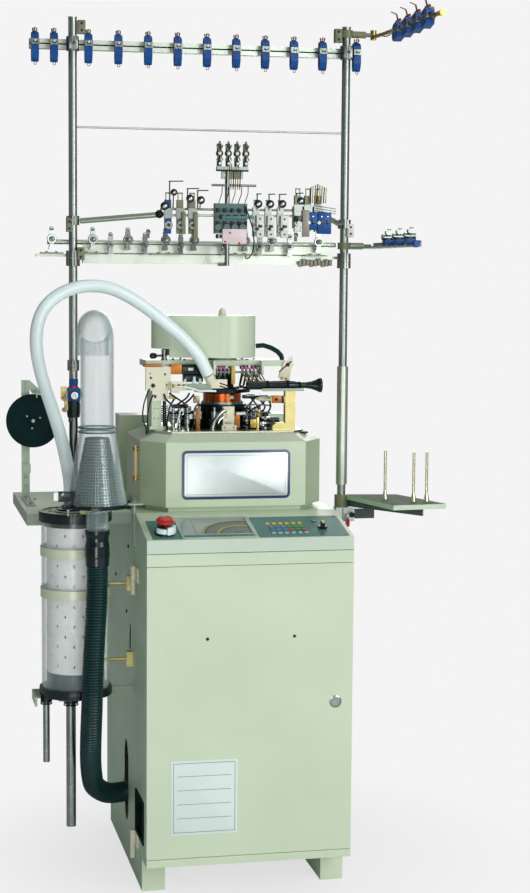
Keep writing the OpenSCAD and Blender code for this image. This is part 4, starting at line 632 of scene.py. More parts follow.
@dataclass
class Shape:
    """Builds one piece from lofted rings of points, in the maker's millimetres.

    Every call that adds to it takes a mark, which is the number of the piece's finish.
    """

    name: str
    points: list[Vector] = field(default_factory=list)
    faces: list[tuple[int, ...]] = field(default_factory=list)
    marks: list[int] = field(default_factory=list)

    def loft(self, rings: Sequence[Sequence[Vector]], place: Matrix | None = None, mark: int = 0,
             caps: bool = True) -> None:
        """Joins closed rings of equal count into a skin.

        Args:
            rings: the rings in order.
            place: moves the rings into the layout.
            mark: its finish's number.
            caps: whether the first and last rings are closed.
        """
        base = len(self.points)
        count = len(rings[0])
        for ring in rings:
            self.points.extend(place @ p if place else p for p in ring)
        before = len(self.faces)
        for i in range(len(rings) - 1):
            low, high = base + i * count, base + (i + 1) * count
            for k in range(count):
                j = (k + 1) % count
                self.faces.append((low + k, low + j, high + j, high + k))
        if caps:
            last = base + (len(rings) - 1) * count
            self.faces.append(tuple(range(base + count - 1, base - 1, -1)))
            self.faces.append(tuple(range(last, last + count)))
        self.marks.extend([mark] * (len(self.faces) - before))

    def turned(self, profile: Profile, place: Matrix, mark: int = 0, steps: int = 24) -> None:
        """A turned part from (radius, height) pairs, closed at both ends."""
        self.loft([circle(max(r, 0.02), z, steps) for r, z in profile], place, mark)

    def hollow(self, profile: Profile, place: Matrix, mark: int = 0, steps: int = 24) -> None:
        """A ring whose (radius, height) section is a closed loop."""
        self.loft([circle(r, z, steps) for r, z in (*profile, profile[0])], place, mark, caps=False)

    def band(self, inner: float, outer: float, low: float, high: float, place: Matrix, mark: int = 0,
             steps: int = 24) -> None:
        """A ring of square section between two radii and two heights."""
        self.hollow(((inner, low), (outer, low), (outer, high), (inner, high)), place, mark, steps)

    def slab(self, width: float, depth: float, height: float, place: Matrix, mark: int = 0,
             corner: float = 1.0, edge: float = 0.5) -> None:
        """A block standing on its place.

        Args:
            width: its size along the place's x.
            depth: its size along the place's y.
            height: its size along the place's z.
            place: the middle of its foot.
            mark: its finish's number.
            corner: the radius of its upright corners.
            edge: how far its flat edges are softened.
        """
        edge = min(edge, height / 2.1)
        levels = ((edge, 0.0), (edge * 0.3, edge * 0.3), (0.0, edge), (0.0, height - edge),
                  (edge * 0.3, height - edge * 0.3), (edge, height))
        rings = [oblong(width - 2 * i, depth - 2 * i, corner - i * 0.5, z) for i, z in levels]
        self.loft(rings, place, mark)

    def slabs(self, *rows: Sequence[float]) -> None:
        """Blocks that stand upright.

        Args:
            rows: each block's mark, width, depth, height, x, y, z, corner and edge.
        """
        for mark, width, depth, height, x, y, z, corner, edge in rows:
            self.slab(width, depth, height, spot(x, y, z), mark, corner, edge)

    def prism(self, outline: Profile, height: float, place: Matrix, mark: int = 0, edge: float = 0.4) -> None:
        """A plate of any outline that is seen whole from its middle.

        Args:
            outline: its corners in order.
            height: its thickness.
            place: where it lies.
            mark: its finish's number.
            edge: how far its edges are softened.
        """
        flat = [Vector((x, y, 0)) for x, y in outline]
        middle = sum(flat, Vector((0, 0, 0))) / len(flat)
        levels = ((edge, 0), (0, edge), (0, height - edge), (edge, height))
        self.loft([[p + (middle - p).normalized() * inset + Vector((0, 0, z)) for p in flat]
                   for inset, z in levels], place, mark)

    def tube(self, path: Sequence[Vector], radius: float | Callable[[float], float], mark: int = 0,
             steps: int = 10) -> None:
        """A round bar or hose along a path.

        Args:
            path: the middle line.
            radius: its radius, or a function of the distance from the start.
            mark: its finish's number.
            steps: points round it.
        """
        rings = []
        side = Vector((0, 0, 1)).cross(path[1] - path[0])
        if side.length < 1e-3:
            side = Vector((1, 0, 0))
        run = 0.0
        for i, p in enumerate(path):
            along = (path[min(i + 1, len(path) - 1)] - path[max(i - 1, 0)]).normalized()
            side = (side - along * side.dot(along)).normalized()
            across = along.cross(side)
            r = radius(run) if callable(radius) else radius
            rings.append([p + side * q.x + across * q.y for q in circle(r, 0.0, steps)])
            if i + 1 < len(path):
                run += (path[i + 1] - p).length
        self.loft(rings, None, mark)

    def rod(self, a: Point, b: Point, radius: float, mark: int = 0, steps: int = 10) -> None:
        """A straight round bar between two points."""
        self.tube([Vector(a), Vector(b)], radius, mark, steps)

    def hoop(self, place: Matrix, radius: float, wire: float, mark: int = 0, steps: int = 20,
             thick: int = 8) -> None:
        """A closed ring of wire round the place's z axis, with a number of points round the wire."""
        self.hollow([(radius + p.x, p.y) for p in circle(wire, 0.0, thick)], place, mark, steps)

    def wire(self, route: Sequence[Point], radius: float, mark: int = 0, steps: int = 8) -> None:
        """A bent round bar or thin hose through the points of a route."""
        self.tube(smooth_path(route, max(radius * 1.6, 3.0)), radius, mark, steps)

    def bolt(self, place: Matrix, radius: float, height: float, mark: int = 0) -> None:
        """A round screw head with a hollow in its top.

        Args:
            place: the middle of its foot.
            radius: its radius.
            height: its height.
            mark: its finish's number.
        """
        profile = ((radius, 0), (radius, height * 0.7), (radius * 0.85, height), (radius * 0.5, height),
                   (radius * 0.45, height * 0.45))
        self.turned(profile, place, mark, 14)

    def border(self, width: float, depth: float, line: float, rise: float, place: Matrix,
               mark: int = 0) -> None:
        """A rectangular frame of four thin strips.

        Args:
            width: its size across.
            depth: its size the other way.
            line: the strips' width.
            rise: the strips' thickness.
            place: its middle.
            mark: its finish's number.
        """
        for side in (-1, 1):
            above, aside = side * (depth - line) / 2, side * (width - line) / 2
            self.slab(width, line, rise, beside(place, y=above), mark, 0.3, 0.1)
            self.slab(line, depth - 2 * line, rise, beside(place, aside), mark, 0.3, 0.1)

    def arc(self, place: Matrix, inner: float, outer: float, height: float, start: float, end: float,
            mark: int = 0) -> None:
        """A flat strip round a place's z axis.

        Args:
            place: the middle of its curve.
            inner: its inner radius.
            outer: its outer radius.
            height: its thickness.
            start: the angle where it begins, in degrees.
            end: the angle where it ends.
            mark: its finish's number.
        """
        rings = []
        for k in range(21):
            a = math.radians(start + (end - start) * k / 20)
            rings.append([Vector((r * math.cos(a), r * math.sin(a), z))
                          for r, z in ((inner, 0), (outer, 0), (outer, height), (inner, height))])
        self.loft(rings, place, mark)

    def make(self, body: str, slot: str, *finishes: Finish, sharp: float = 35.0) -> bpy.types.Object:
        """Turns the skins into an object that rides on a body.

        Args:
            body: the body it moves with.
            slot: the record's material slot, which is not used.
            finishes: the piece's finishes, in the order of the marks.
            sharp: the angle between faces, in degrees, past which an edge shows.

        Returns:
            The object.
        """
        mesh = bpy.data.meshes.new(self.name)
        mesh.from_pydata([metres(*p) for p in self.points], [], self.faces)
        mesh.polygons.foreach_set("material_index", self.marks)
        work = bmesh.new()
        work.from_mesh(mesh)
        bmesh.ops.recalc_face_normals(work, faces=work.faces)
        work.to_mesh(mesh)
        work.free()
        mesh.shade_smooth()
        mesh.set_sharp_from_angle(angle=math.radians(sharp))
        for finish in finishes:
            mesh.materials.append(finish.material())
        piece = shown(self.name, mesh)
        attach(piece, body)
        log.info("%s: %d faces on %s", self.name, len(mesh.polygons), body)
        return piece


# ---- Studio ----


@dataclass(frozen=True)
class Lamp:
    """A soft rectangular light that looks at a point."""

    name: str
    at: Triple
    size: Pair
    power: float
    aim: Triple = (0.0, 0.0, 1.2)

    def make(self) -> None:
        """Puts the light in the scene."""
        data = bpy.data.lights.new(self.name, "AREA")
        data.shape = "RECTANGLE"
        data.size, data.size_y = self.size
        data.energy = self.power
        lamp = shown(self.name, data)
        lamp.location = self.at
        lamp.rotation_euler = (Vector(self.aim) - Vector(self.at)).to_track_quat("-Z", "Y").to_euler()


@dataclass(frozen=True)
class Studio:
    """Camera, pale floor, soft lights and the room's glow."""

    eye: Triple = (-970.589, -4652.666, 1662.985)
    yaw: float = 12.17651
    pitch: float = 5.38828
    roll: float = 0.44205
    focal: float = 1812.791
    tall: float = 893.0
    sensor: float = 36.0
    paper: float = 0.905
    room: float = 0.18
    floor_rings: Numbers = (0.02, 0.6, 1.2, 2.4, 5.0, 12.0, 30.0, 80.0)
    floor_steps: int = 64
    lamps: tuple[Lamp, ...] = (
        Lamp("key_light", (2.6, -4.6, 2.5), (2.6, 3.0), 122.0),
        Lamp("front_light", (-0.8, -5.6, 1.4), (2.4, 2.0), 36.0),
        Lamp("top_light", (0.6, -0.4, 4.8), (2.6, 2.6), 26.0),
        Lamp("back_light", (1.6, 4.6, 2.8), (2.6, 2.6), 60.0),
        Lamp("left_light", (-4.6, 0.4, 2.2), (1.2, 2.6), 5.0),
        Lamp("low_light", (-1.3, -3.4, 0.3), (0.9, 0.5), 14.0, aim=(-0.5, -0.2, 0.4)),
    )

    def camera(self) -> None:
        """Makes the camera and sets it."""
        yaw, pitch, roll = (math.radians(a) for a in (self.yaw, self.pitch, self.roll))
        ahead = Vector((math.sin(yaw) * math.cos(pitch), math.cos(yaw) * math.cos(pitch), -math.sin(pitch)))
        right = Vector((math.cos(yaw), -math.sin(yaw), 0.0))
        up = right.cross(ahead)
        c, s = math.cos(roll), math.sin(roll)
        turn = Matrix((c * right + s * up, c * up - s * right, -ahead)).transposed()
        data = bpy.data.cameras.new("view")
        data.sensor_width = self.sensor
        data.lens = self.focal * self.sensor / self.tall
        data.clip_start, data.clip_end = 0.1, 200.0
        camera = shown("view", data)
        camera.matrix_world = Matrix.Translation(metres(*self.eye)) @ turn.to_4x4()
        bpy.context.scene.camera = camera

    def world(self) -> None:
        """A pale backdrop to the camera and a softer glow to everything else."""
        world = bpy.data.worlds.new("room")
        world.use_nodes = True
        bpy.context.scene.world = world
        world.node_tree.nodes.clear()
        board = Board(world.node_tree)
        way = board.add("TexCoord").outputs["Generated"]
        lean = board.aim("DOT_PRODUCT", way, (0.35, -0.25, 0.35)).outputs["Value"]
        glow = board.span(lean, -0.55, 0.55, self.room * 0.35, self.room * 1.5)
        seen = board.add("LightPath").outputs["Is Camera Ray"]
        power = board.add("Mix", {0: seen, 2: glow, 3: self.paper}, data_type="FLOAT").outputs[0]
        back = board.add("Background", {"Color": WHITE, "Strength": power})
        board.add("OutputWorld", {0: back.outputs[0]})

    def floor_paper(self) -> Material:
        """Pale paper that fades into the backdrop with the distance."""
        material = bpy.data.materials.new("floor_paper")
        material.use_nodes = True
        board = Board(material.node_tree)
        shader = material.node_tree.nodes["Principled BSDF"]
        cloud = board.mix(board.noise(1.5, 3.0), (0.86, 0.86, 0.86, 1), (0.83, 0.83, 0.83, 1))
        board.feed(shader, {"Base Color": cloud, "Roughness": 0.9})
        far = board.span(board.aim("LENGTH", board.here()).outputs["Value"], 0.3, 0.95, 0.76)
        share = board.math("MULTIPLY", far, board.add("LightPath").outputs["Is Camera Ray"])
        paper = board.add("Emission", {"Color": WHITE, "Strength": self.paper})
        both = board.add("MixShader", {0: share, 1: shader.outputs[0], 2: paper.outputs[0]})
        board.feed(material.node_tree.nodes["Material Output"], {0: both.outputs[0]})
        return material

    def floor(self) -> None:
        """A wide disc of paper under the machine."""
        count = self.floor_steps
        shape = bmesh.new()
        rows = [[shape.verts.new(p) for p in circle(r, 0.0, count)] for r in self.floor_rings]
        shape.faces.new(rows[0])
        for low, high in zip(rows, rows[1:]):
            for k in range(count):
                j = (k + 1) % count
                shape.faces.new((low[k], high[k], high[j], low[j]))
        mesh = bpy.data.meshes.new("floor")
        shape.to_mesh(mesh)
        shape.free()
        mesh.materials.append(self.floor_paper())
        shown("floor", mesh)

    def build(self) -> None:
        """Sets up the studio."""
        self.camera()
        self.world()
        self.floor()
        for lamp in self.lamps:
            lamp.make()
        bpy.context.scene.view_settings.view_transform = "Standard"
        bpy.context.scene.view_settings.look = "None"
        log.info("studio: %d lights", len(self.lamps))


# ---- Hoses ----


@dataclass(frozen=True)
class FreeHose:
    """A flexible hose between two fittings, ribbed or nearly smooth."""

    name: str
    node: str
    route: Rows
    radius: float
    pitch: float
    groove: float
    finish: Finish
    slot: str
    stiffness: str
    per_rib: int = 6
    steps: int = 28

    def outline(self, run: float) -> float:
        """The hose's radius at a distance along it."""
        wave = 0.5 - 0.5 * math.cos(math.tau * run / self.pitch)
        return self.radius - self.groove * (1 - wave ** 0.6)

    def build(self) -> None:
        path = smooth_path(self.route, self.pitch / self.per_rib)
        shape = Shape(self.name)
        shape.tube(path, self.outline, 0, self.steps)
        hose = shape.make("machine", self.slot, self.finish, sharp=80.0)
        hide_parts(self.node)


SUCTION = FreeHose(
    "corrugated_hose", "suction_hose",
    ((-403.3, 60, 900), (-403.3, 60, 870), (-405, 58, 810), (-410, 55, 720), (-414, 55, 650),
     (-417, 56, 580), (-418, 57, 525), (-419, 66, 470), (-418, 88, 415), (-414, 124, 360), (-406, 170, 308),
     (-394, 222, 264), (-372, 278, 232), (-346, 326, 208), (-318, 364, 195), (-288, 390, 190),
     (-256, 403, 190)),
    29.0, 7.6, 2.6, Finish.RUBBER, "rubber", "stiff")

YARN_WASTE = FreeHose(
    "white_yarn_hose", "white_hose",
    ((-59, 332, 1386), (-88, 326, 1438), (-133, 322, 1488), (-182, 318, 1530), (-230, 314, 1567),
     (-282, 308, 1600), (-336, 300, 1624), (-388, 292, 1631), (-438, 282, 1625), (-484, 272, 1605),
     (-519, 262, 1574), (-538, 254, 1535), (-545, 246, 1492), (-543, 240, 1448), (-535, 232, 1403),
     (-523, 224, 1358), (-509, 214, 1312), (-495, 204, 1266), (-481, 197, 1214), (-470, 190, 1160),
     (-463, 185, 1115), (-461.5, 183, 1080), (-461.5, 183, 1025.4)),
    17.5, 4.0, 0.3, Finish.MILK, "white_plastic", "medium", 4, 32)


# ---- Sub-assemblies ----

SLOPE = math.atan(45 / 213)
LIP_Z = 970.0
STRAP_ZS = (800, 911)
COMB_PITCH = 25.5


def on_slope(x: float, s: float, lift: float = 0.0) -> Matrix:
    """A place on the console's sloping face: across, up the slope and off it."""
    face = Matrix.Translation((0, 0, LIP_Z)) @ Matrix.Rotation(SLOPE, 4, "X")
    return beside(face, x, s, lift)


@dataclass(frozen=True)
class Cabinet:
    """Base, control box, door and rear covers."""

    plate: Pair = (180.0, 201.0)
    plate_at: Pair = (-125.0, 276.5)
    lock_at: Pair = (233.0, 521.0)
    bumpers: Rows = ((-118.0, 704.0), (118.0, 704.0))
    side_screws: Rows = ((350.1, 903.9), (616.9, 782.2), (384.4, 713.7))
    hinge_x: float = -280.2
    tray_y: float = 207.7
    terminal_pitch: float = 13.0
    modules: Rows = (
        (-200, 640, 180, 150, 60), (20, 640, 180, 150, 45), (-200, 430, 110, 160, 90),
        (-70, 430, 110, 160, 90), (60, 430, 130, 160, 70), (-200, 250, 240, 120, 50), (70, 250, 130, 120, 60))
    leads: Rows = (
        (-180, 590), (-60, 590), (90, 590), (-150, 372), (110, 372), (-120, 790))

    def dress(self) -> None:
        """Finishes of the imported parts."""
        dress_plain(rear_housing=Finish.GREEN, door_lock=Finish.CHROME, side_grille=Finish.BLACK,
                    drive_motor=Finish.BLACK, drive_belt=Finish.BELT, motor_pulley=Finish.STEEL)
        # Faces that look left (cabinet, skids, box and door) take the shaded side green: painted shade on the
        # left sides.
        dress("base_cabinet", Finish.GREEN, Finish.SIDE_GREEN, Finish.CREAM, Finish.BAND_GREEN,
              faces=lambda c, n: np.where(c[:, 0] < self.hinge_x, 2, np.where(
                  (n[:, 1] < -0.5) & (c[:, 2] > 899) & (c[:, 1] < 1), 3, n[:, 0] < -0.5)))
        dress("base_skids", Finish.GREEN, Finish.SIDE_GREEN, faces=lambda c, n: n[:, 0] < -0.5)
        dress("rear_cover", Finish.GREEN, Finish.STEEL, faces=lambda c, n: c[:, 1] > 834.1)
        dress("control_box", Finish.GREEN, Finish.SIDE_GREEN, Finish.CREAM,
              faces=lambda c, n: np.where(c[:, 0] < self.hinge_x, 2, n[:, 0] < -0.5))
        dress("front_door", Finish.GREEN, Finish.SIDE_GREEN, faces=lambda c, n: n[:, 0] < -0.5)
        dress("electrics", Finish.STEEL, Finish.BLACK, Finish.CREAM,
              faces=lambda c, n: np.where(c[:, 1] > 205, 0, np.where(np.abs(c[:, 2] % 206 - 206) < 22, 1, 2)))

    def rating_plate(self) -> None:
        """Blank plate with ruled lines, low on the door."""
        shape = Shape("door_plate")
        wide, tall = self.plate
        face = facing(self.plate_at[0], 0, self.plate_at[1])
        shape.slab(wide, tall, 0.9, face, 0, 3, 0.3)
        shape.border(wide - 12, tall - 12, 1.6, 0.3, beside(face, z=0.85), 1)
        for k in range(4):
            shape.slab(wide - 34, 1.4, 0.3, beside(face, 0, tall / 2 - 42 - k * 38, 0.85), 1, 0.5, 0.1)
        shape.make("front_door", "white_plastic", Finish.LABEL, Finish.RULING)

    def door_fittings(self) -> None:
        """The lock's ring and the door's bumpers."""
        ring = Shape("lock_ring")
        x, z = self.lock_at
        ring.hollow(((13.4, 0), (17, 0), (16.6, 1.6), (14.2, 2.2)), facing(x, 0, z), 0, 32)
        ring.make("front_door", "steel", Finish.CHROME)
        bumpers = Shape("door_bumpers")
        for x, z in self.bumpers:
            bumpers.turned(((2.2, -2), (2.2, 0), (4.4, 0), (4.4, 1), (3.2, 2)), facing(x, 0, z), 0, 14)
        bumpers.make("front_door", "rubber", Finish.RUBBER)

    def module_fronts(self) -> None:
        """Lids, terminals, lamps and leads of the control modules, behind the door."""
        shape = Shape("module_fronts")
        step = self.terminal_pitch
        for x, z, wide, tall, deep in self.modules:
            front = facing(x + wide / 2, self.tray_y - deep, z + tall / 2)
            shape.slab(wide - 8, tall - 34, 3, beside(front, y=8), 0, 4, 1)
            for k in range(int((wide - 20) // step)):
                place = beside(front, -wide / 2 + 16 + k * step, -tall / 2 + 10)
                shape.slab(10, 12, 7, place, 1, 1, 0.6)
                shape.turned(((3.2, 6.5), (3.2, 7.6), (2.4, 8)), place, 2, 8)
            for k in range(3):
                lamp = beside(front, wide / 2 - 14 - k * 9, tall / 2 - 16, 3)
                shape.turned(((2.4, 0), (2.4, 1), (1.2, 2)), lamp, 3, 8)
        for k, (x, z) in enumerate(self.leads):
            y = self.tray_y
            lead = smooth_path(((x, y - 26, z), (x + 8, y - 36, z + 22), (x + 30, y - 30, z + 34)), 5)
            shape.tube(lead, 3.0, 4 if k % 2 else 1, 8)
        shape.make("control_box", "black_plastic", Finish.PANEL, Finish.BLACK, Finish.STEEL, Finish.LEAF,
                   Finish.NAVY)

    def side_bolts(self) -> None:
        """Black screws in the left side."""
        shape = Shape("side_screws")
        for y, z in self.side_screws:
            shape.bolt(sideways(-280, y, z), 5.2, 3.6)
        shape.make("machine", "black_plastic", Finish.GLOSS_BLACK)

    def seam(self) -> None:
        """Dark joint between the console's lip and the band under it."""
        shape = Shape("console_seam")
        shape.slab(558, 1.7, 0.35, facing(0, 0, 933.4), 0, 0.5, 0.1)
        shape.make("control_box", "green", Finish.TABLE_SHADE)

    def clamp_handle(self) -> None:
        """Red lens-shaped handle on the right post's clamp block."""
        shape = Shape("clamp_handle")
        shape.turned(((6.5, 0), (6.5, 5), (5, 6)), facing(408, 557.3, 948), 0, 16)
        lens = ((3, 0), (11, 1.5), (14, 5), (14.6, 7), (12, 9.5), (5, 11), (1, 11.4))
        shape.turned(lens, sideways(414, 558, 927), 1, 28)
        shape.rod((408, 557, 934), (408, 557, 950), 4.4, 0, 12)
        shape.make("machine", "red_plastic", Finish.CHROME, Finish.RED)

    def build(self) -> None:
        """Dresses and details the cabinet."""
        for part in (self.dress, self.rating_plate, self.door_fittings, self.module_fronts, self.side_bolts,
                     self.seam, self.clamp_handle):
            part()


@dataclass(frozen=True)
class Console:
    """Sloping console with its panels and controls, placed across and up its slope."""

    gauge_middle: Pair = (-19.9, 31.0)
    gauge_r: float = 108.0
    window_right: float = 9.0
    stop: Pair = (-226.0, 50.0)
    selector: Pair = (208.0, 66.0)
    start_key: Pair = (195.7, 119.5)
    key: Pair = (11.5, 16.0)
    key_rows: tuple[tuple[float, float, float, str], ...] = (
        (64.3, 153.6, 107.0, "YYYYYY"), (68.8, 153.8, 80.0, "SSSGGG"),
        (66.8, 156.1, 57.5, "SSSRGR"), (66.4, 156.6, 33.0, "MMMMMM"))
    captions: Rows = ((191, 96), (226, 98), (247, 84), (183, 62), (238, 44))

    def gauge(self) -> None:
        """Half-round scale behind the window, with its two bright arcs."""
        shape = Shape("window_scale")
        x, s = self.gauge_middle
        radius, reach = self.gauge_r, self.window_right - x - 0.5
        cut = math.acos(reach / radius)
        turns = [cut + (math.pi - cut) * k / 30 for k in range(31)]
        rim = [(radius * math.cos(a), radius * math.sin(a)) for a in turns]
        shape.prism([*rim, (-radius, 0.0), (reach, 0.0)], 0.5, on_slope(x, s, 2.0), 0, 0.1)
        for outer, mark in ((radius - 1, 1), (radius - 9, 2), (66.0, 1), (57.0, 2)):
            last = math.degrees(math.acos(min(1.0, (reach - 0.5) / outer)))
            shape.arc(on_slope(x, s, 2.4), outer - 4.5, outer, 0.5, last, 179, mark)
        shape.turned(((14, 0), (14, 1), (12, 1.6)), on_slope(x - 4, s + 8, 2.3), 3, 20)
        shape.make("control_box", "black_plastic", Finish.DIAL_GREY, Finish.AMBER, Finish.CAP_GREY,
                   Finish.PANEL)

    def window_frame(self) -> None:
        """Pale frame of the window and the dark strip under it."""
        shape = Shape("window_frame")
        shape.border(154, 130, 3.2, 1.2, on_slope(-66, 92, 3.9), 0)
        shape.slab(192, 13, 0.8, on_slope(-84, 16, 3.95), 1, 2, 0.3)
        for k in range(13):
            shape.slab(6, 5, 0.4, on_slope(-168 + k * 14, 16, 4.7), 2, 1, 0.1)
        shape.make("control_box", "cream", Finish.WINDOW, Finish.PANEL, Finish.CAP_GREY)

    def keys(self) -> None:
        """Four rows of coloured keys, the panel's blank captions, its screws and its start key."""
        shape = Shape("key_pad")
        face = 1.15
        wide, tall = self.key
        for first, last, s, row in self.key_rows:
            for k, letter in enumerate(row):
                place = on_slope(first + (last - first) * k / (len(row) - 1), s, 1.1)
                shape.slab(wide + 2, tall + 2, 0.5, place, 5, 2, 0.15)
                shape.slab(wide, tall, 1.3, place, "YSGRM".index(letter), 1.6, 0.5)
        for k in range(9):
            shape.slab(6, 4, 0.3, on_slope(166 + k * 11, 146, face), 6, 1, 0.1)
        for x, s in self.captions:
            shape.slab(14, 2.4, 0.3, on_slope(x, s, face), 6, 1, 0.1)
        for x, s in ((32, 12), (32, 156), (260, 12), (260, 156)):
            shape.turned(((2.6, 0), (2.6, 0.8), (1.8, 1.3)), on_slope(x, s, face), 6, 10)
        shape.turned(((6, 0), (6, 1), (5, 1.6)), on_slope(*self.start_key, face), 5, 16)
        shape.turned(((4, 1), (4, 3), (2.6, 4.6), (0.8, 5.2)), on_slope(*self.start_key, face), 4, 16)
        shape.make("control_box", "black_plastic", Finish.YELLOW, Finish.SKY, Finish.LEAF, Finish.RED,
                   Finish.MIST, Finish.BLACK, Finish.RULING)

    def stop_guard(self) -> None:
        """Clear broken collar and black base round the stop button."""
        shape = Shape("stop_guard")
        base = on_slope(*self.stop)
        shape.hollow(((22.4, 1.2), (27, 1.2), (27, 5), (25, 8), (22.4, 8)), base, 1, 32)
        for lift, outer, tall, start, end in ((8, 27.5, 13, -150, -88), (6, 29.5, 20, -84, -12),
                                              (10, 26, 12, 20, 120)):
            shape.arc(beside(base, z=lift), 22.6, outer, tall, start, end, 0)
        shape.make("control_box", "white_plastic", Finish.MILK, Finish.GLOSS_BLACK)

    def control_caps(self) -> None:
        """The selector's yellow pointer and the stop button's rim."""
        cap = Shape("selector_cap")
        cap.slab(6.4, 21, 1.4, on_slope(*self.selector, 18.5), 0, 2, 0.5)
        cap.band(12.15, 12.8, 2, 5, on_slope(*self.selector, 1.5), 1)
        cap.make("selector_knob", "black_plastic", Finish.YELLOW, Finish.BLACK)
        rim = Shape("stop_rim")
        place = on_slope(*self.stop, 44.0)
        rim.hollow(((12, 0), (15.5, 0), (15, 1.1), (12.6, 1.3)), place, 0, 28)
        for turn in (0, 120, 240):
            rim.arc(place, 16.5, 19, 0.9, turn, turn + 62, 0)
        rim.make("estop_button", "red_plastic", Finish.PINK_RED)

    def build(self) -> None:
        """Dresses and details the console."""
        # The console's faces that look left take the shaded side green: painted shade.
        dress("console", Finish.GREEN, Finish.SIDE_GREEN, Finish.LIP_GREEN,
              faces=lambda c, n: np.where(n[:, 1] < -0.5, 2, n[:, 0] < -0.5))
        dress("console_panels", Finish.PANEL, Finish.WINDOW, Finish.GLOSS_BLACK,
              faces=lambda c, n: np.where(np.abs(c[:, 0] + 84) < 103, 1,
                                          2 * (np.hypot(c[:, 0] + 226, c[:, 1] - 46) < 24)))
        dress("estop_button", Finish.RED)
        dress("selector_knob", Finish.GLOSS_BLACK)
        for part in (self.gauge, self.window_frame, self.keys, self.stop_guard, self.control_caps):
            part()


